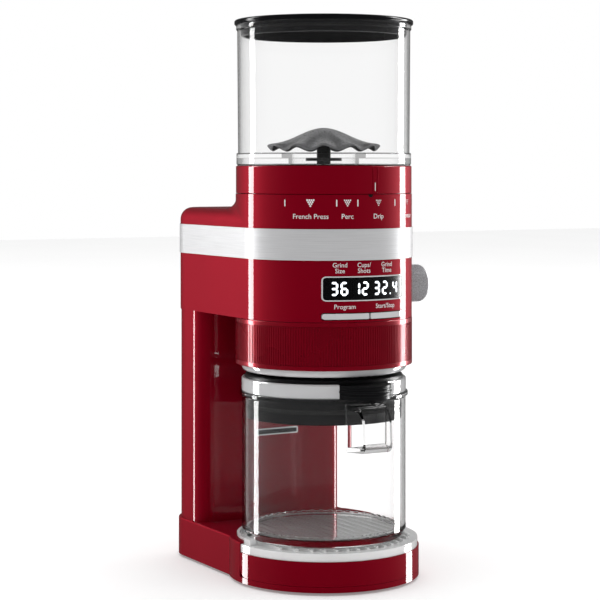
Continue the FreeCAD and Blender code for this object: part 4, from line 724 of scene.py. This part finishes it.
class GRINDER_OT_scale(bpy.types.Operator):
    """Ticks and bean marks of the grind scale on the neck"""
    bl_idname = "grinder.scale"
    bl_label = "Grind scale"

    def execute(self, context):
        ink = sizes().mark_thickness
        pieces = []
        for degrees in TICK_TURNS:
            tick = bar("tick", 5.0 * MM, 0.8 * MM, ink)
            tick.rotation_euler = (0, 0, math.pi / 2)
            settle(tick)
            pieces.append(wrap(tick, DRUM_RADIUS, degrees, BAND_TOP + MARK_RISE))
        for group, (_, degrees) in enumerate(BREWS):
            size = (1.5 - 0.12 * group) * MM
            for row in range(4):
                for place in range(4 - row):
                    dot = begin("dot", "circle", vertices=10, radius=size * (0.44 - 0.05 * group),
                                fill_type="NGON")
                    edit(dot)
                    raise_flat(dot, ink)
                    dot.location = ((place - (3 - row) / 2) * size, (1.5 - row) * size * 0.9, 0)
                    settle(dot)
                    pieces.append(wrap(dot, DRUM_RADIUS, degrees, BAND_TOP + MARK_RISE))
        marks = gather(pieces, "scale_marks")
        finish_piece(marks, material("white_print"), "machine")
        return {"FINISHED"}


class GRINDER_OT_dock_slot(bpy.types.Operator):
    """Painted shade: a thin black box set just inside the framed slot at the top of the dock panel, where the
    slot is shaded
    """
    bl_idname = "grinder.dock_slot"
    bl_label = "Dock slot"

    def execute(self, context):
        slot_low, slot_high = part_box("dock_slot_frame")
        # Painted shade: this black box stands in for the shade inside the slot frame.
        shade_sheet = begin("slot_inside", "cube", size=1.0)
        shade_sheet.scale = (slot_high.x - slot_low.x - 2.4 * MM, 0.3 * MM, slot_high.z - slot_low.z - 1.8 * MM)
        shade_sheet.location = ((slot_low.x + slot_high.x) / 2, slot_low.y + 0.05 * MM,
                           (slot_low.z + slot_high.z) / 2)
        settle(shade_sheet)
        modify(shade_sheet, "BEVEL", width=0.1 * MM, segments=2)
        finish_piece(shade_sheet, material("black_moulding"), "machine")
        return {"FINISHED"}


class GRINDER_OT_lid_steps(bpy.types.Operator):
    """Stepped rings round the pouring lip of the jar's lid"""
    bl_idname = "grinder.lid_steps"
    bl_label = "Lid steps"

    def execute(self, context):
        centre_y = AXIS.y - LIP_CENTRE
        radius = centre_y - low("container_lid").y
        top = low("container_lid_band").z
        steps = []
        for level, proud in ((2.6, 0.5), (5.0, 0.9), (7.4, 0.5)):
            ring = begin("lip_step", "torus", major_radius=radius - 0.15 * MM, minor_radius=proud * MM,
                         major_segments=72, minor_segments=10)
            ring.location = (AXIS.x, centre_y, top + level * MM)
            settle(ring)
            edit(ring, "VERT")
            choose(ring, lambda vertex: vertex.co.y > centre_y + 2 * MM, "verts")
            bpy.ops.mesh.delete(type="VERT")
            bpy.ops.object.mode_set(mode="OBJECT")
            steps.append(ring)
        rings = gather(steps, "lid_lip_steps")
        smooth(rings, 60)
        finish_piece(rings, material("black_moulding"), "container_cap")
        return {"FINISHED"}


class GRINDER_OT_jar_foot(bpy.types.Operator):
    """Pressed facets round the inside of the jar's foot"""
    bl_idname = "grinder.jar_foot"
    bl_label = "Jar foot"

    def execute(self, context):
        foot = low("jar").z
        outer, inner = JAR_RADIUS - 5.4 * MM, JAR_RADIUS - 7.5 * MM
        ring = lathe("jar_foot_facets", [(inner, foot + 5.3 * MM), (outer, foot + 5.3 * MM),
                                         (outer, foot + 6.4 * MM), (inner, foot + 6.0 * MM)])
        edit(ring)

        def every_other(face):
            middle = face.calc_center_median() - AXIS
            place = math.atan2(middle.y, middle.x) / (math.pi / 48) + 0.01
            return face.normal.z > 0.5 and math.floor(place) % 2 == 0

        choose(ring, every_other)
        bpy.ops.mesh.inset(thickness=0.25 * MM, depth=0.7 * MM, use_individual=True)
        bpy.ops.object.mode_set(mode="OBJECT")
        finish_piece(ring, material("jar_glass"), "container")
        return {"FINISHED"}


class GRINDER_OT_pointer(bpy.types.Operator):
    """Raised pointer on the grind collar, with painted shade for the notch under the collar"""
    bl_idname = "grinder.pointer"
    bl_label = "Pointer"

    def execute(self, context):
        collar_low, collar_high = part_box("grind_collar")
        tall = collar_high.z - collar_low.z - 2 * MM
        middle = (collar_low.z + collar_high.z) / 2
        rails = []
        for degrees in (2.5, 6.0):
            rail = begin("rail", "cube", size=1.0)
            rail.scale = (0.55 * MM, tall, 0.8 * MM)
            settle(rail)
            modify(rail, "BEVEL", width=0.2 * MM, segments=2)
            rails.append(wrap(rail, COLLAR_RADIUS, degrees, middle))
        pointer = gather(rails, "pointer_rails")
        smooth(pointer)
        finish_piece(pointer, material("red_paint"), "collar")
        line = bar("pointer_line", tall * 0.34, 0.6 * MM, sizes().mark_thickness)
        line.rotation_euler = (0, 0, math.pi / 2)
        settle(line)
        wrap(line, COLLAR_RADIUS, 4.2, middle - tall * 0.27)
        # Painted shade: a flat black half-disc on the drum under the collar stands in for the shade inside
        # the half-round notch there.
        notch = begin("collar_notch", "circle", vertices=32, radius=1.9 * MM, fill_type="NGON")
        edit(notch)
        bpy.ops.mesh.select_all(action="SELECT")
        bpy.ops.mesh.bisect(plane_co=(0, 0, 0), plane_no=(0, 1, 0), use_fill=False, clear_outer=True)
        raise_flat(notch, sizes().mark_thickness)
        wrap(notch, DRUM_RADIUS, 0.6, NECK_TOP - 0.4 * MM)
        finish_piece(notch, material("black_moulding"), "machine")
        finish_piece(line, material("white_print"), "collar")
        return {"FINISHED"}


def soft_light(name, width, height, power):
    """A rectangular studio light."""
    light = bpy.data.lights.new(name, "AREA")
    light.shape = "RECTANGLE"
    light.size = width
    light.size_y = height
    light.energy = power
    lamp = bpy.data.objects.new(name, light)
    lamp.visible_camera = False
    bpy.context.scene.collection.objects.link(lamp)
    return lamp


def studio_world(toward_camera):
    """Pale surroundings. They are white where they are seen straight or through something clear, and
    where they are mirrored they are dim, darkest behind the camera."""
    world = bpy.data.worlds.new("studio")
    world.use_nodes = True
    tree = world.node_tree

    def add(kind, operation=None):
        node = tree.nodes.new(f"ShaderNode{kind}")
        if operation:
            node.operation = operation
        return node

    surround = tree.nodes["Background"]
    place = add("TexCoord")
    facing = add("VectorMath", "DOT_PRODUCT")
    facing.inputs[1].default_value = toward_camera
    ramp = add("ValToRGB")
    ramp.color_ramp.elements[0].position = 0.35
    ramp.color_ramp.elements[0].color = (1, 1, 1, 1)
    ramp.color_ramp.elements[1].position = 0.85
    ramp.color_ramp.elements[1].color = (FRONT_MIRROR, FRONT_MIRROR, FRONT_MIRROR, 1)
    dim = add("MapRange")
    dim.inputs["To Min"].default_value = looks().sky_level
    dim.inputs["To Max"].default_value = looks().mirror_level
    white = add("Background")
    white.inputs["Color"].default_value = (1, 1, 1, 1)
    ray = add("LightPath")
    straight = add("Math", "MAXIMUM")
    mirrored = add("Math", "MINIMUM")
    mirrored.inputs[1].default_value = 1.0
    share = add("Math", "MULTIPLY")
    share.inputs[1].default_value = SHY_SHARE
    plain = add("Math", "SUBTRACT")
    plain.use_clamp = True
    mix = add("MixShader")
    for source, target in (
            (place.outputs["Generated"], facing.inputs[0]),
            (facing.outputs["Value"], ramp.inputs["Fac"]),
            (ramp.outputs["Color"], surround.inputs["Color"]),
            (ray.outputs["Glossy Depth"], mirrored.inputs[0]),
            (mirrored.outputs["Value"], dim.inputs["Value"]),
            (dim.outputs["Result"], surround.inputs["Strength"]),
            (ray.outputs["Is Camera Ray"], straight.inputs[0]),
            (ray.outputs["Is Transmission Ray"], straight.inputs[1]),
            (straight.outputs["Value"], plain.inputs[0]),
            (mirrored.outputs["Value"], share.inputs[0]),
            (share.outputs["Value"], plain.inputs[1]),
            (plain.outputs["Value"], mix.inputs["Fac"]),
            (surround.outputs["Background"], mix.inputs[1]),
            (white.outputs["Background"], mix.inputs[2]),
            (mix.outputs["Shader"], tree.nodes["World Output"].inputs["Surface"])):
        tree.links.new(source, target)
    return world


class GRINDER_OT_stage(bpy.types.Operator):
    """Pale floor, studio light and the camera"""
    bl_idname = "grinder.stage"
    bl_label = "Stage"

    def execute(self, context):
        scene = context.scene
        scene.view_settings.view_transform = "Standard"
        floor = begin("floor", "plane", size=FLOOR_SIZE, location=(0, 0, 0))
        settle(floor)
        pale = new_material("floor_white", Roughness=0.7, Specular_IOR_Level=0.0, Emission_Color=(1, 1, 1, 1),
                            Emission_Strength=FLOOR_GLOW)
        two_tone(pale, noise(pale, 3.0), (0.90, 0.90, 0.90, 1), (0.92, 0.92, 0.92, 1))
        floor.data.materials.append(pale)
        floor.visible_glossy = False

        toward_camera = Vector((-math.sin(math.radians(VIEW_TURN)), -math.cos(math.radians(VIEW_TURN)), 0))
        side = Vector((-toward_camera.y, toward_camera.x, 0))
        for name, turn, width, power in STRIPS:
            ahead = math.cos(math.radians(turn))
            across = math.sin(math.radians(turn))
            lamp = soft_light(name, width, STRIP_HEIGHT, looks().strip_power * power)
            lamp.location = AXIS + (side * across + toward_camera * ahead) * STRIP_DISTANCE
            lamp.location.z = STRIP_MIDDLE
            aim = AXIS - lamp.location
            aim.z = 0
            lamp.rotation_euler = aim.to_track_quat("-Z", "Y").to_euler()
            lamp.visible_diffuse = False
            lamp.visible_transmission = False
        top = soft_light("top_light", TOP_LIGHT_SIZE, TOP_LIGHT_SIZE, looks().top_power)
        top.location = TOP_LIGHT_PLACE
        top.visible_glossy = False

        scene.world = studio_world(toward_camera)

        lens = bpy.data.cameras.new("camera")
        lens.sensor_width = 36.0
        lens.lens = VIEW_LENS
        lens.shift_y = VIEW_SHIFT
        lens.clip_start = 0.05
        camera = bpy.data.objects.new("camera", lens)
        camera.location = AXIS + toward_camera * VIEW_DISTANCE
        camera.location.z = VIEW_HEIGHT
        aim = Matrix.Rotation(math.radians(VIEW_SWING), 3, "Z") @ (-toward_camera)
        camera.rotation_euler = aim.to_track_quat("-Z", "Y").to_euler()
        scene.collection.objects.link(camera)
        scene.camera = camera
        return {"FINISHED"}


OPERATORS = (
    GRINDER_OT_finishes, GRINDER_OT_ring_ribs, GRINDER_OT_knob_knurl, GRINDER_OT_bean_cone,
    GRINDER_OT_readout, GRINDER_OT_labels, GRINDER_OT_scale, GRINDER_OT_pointer, GRINDER_OT_dock_slot,
    GRINDER_OT_lid_steps, GRINDER_OT_jar_foot, GRINDER_OT_stage,
)


class GRINDER_PT_panel(bpy.types.Panel):
    """Lists the grinder's operators and settings"""
    bl_label = "Burr coffee grinder"
    bl_idname = "GRINDER_PT_panel"
    bl_space_type = "VIEW_3D"
    bl_region_type = "UI"
    bl_category = "Grinder"

    def draw(self, context):
        for operator in OPERATORS:
            self.layout.operator(operator.bl_idname)
        for group in (context.scene.grinder_looks, context.scene.grinder_sizes):
            for name in group.__annotations__:
                self.layout.prop(group, name)


CLASSES = (GrinderLooks, GrinderSizes) + OPERATORS + (GRINDER_PT_panel,)


def register():
    for item in CLASSES:
        bpy.utils.register_class(item)
    bpy.types.Scene.grinder_looks = PointerProperty(type=GrinderLooks)
    bpy.types.Scene.grinder_sizes = PointerProperty(type=GrinderSizes)


def unregister():
    del bpy.types.Scene.grinder_sizes
    del bpy.types.Scene.grinder_looks
    for item in reversed(CLASSES):
        bpy.utils.unregister_class(item)


def main():
    register()
    for operator in OPERATORS:
        group, name = operator.bl_idname.split(".")
        getattr(getattr(bpy.ops, group), name)()


if __name__ == "__main__":
    main()
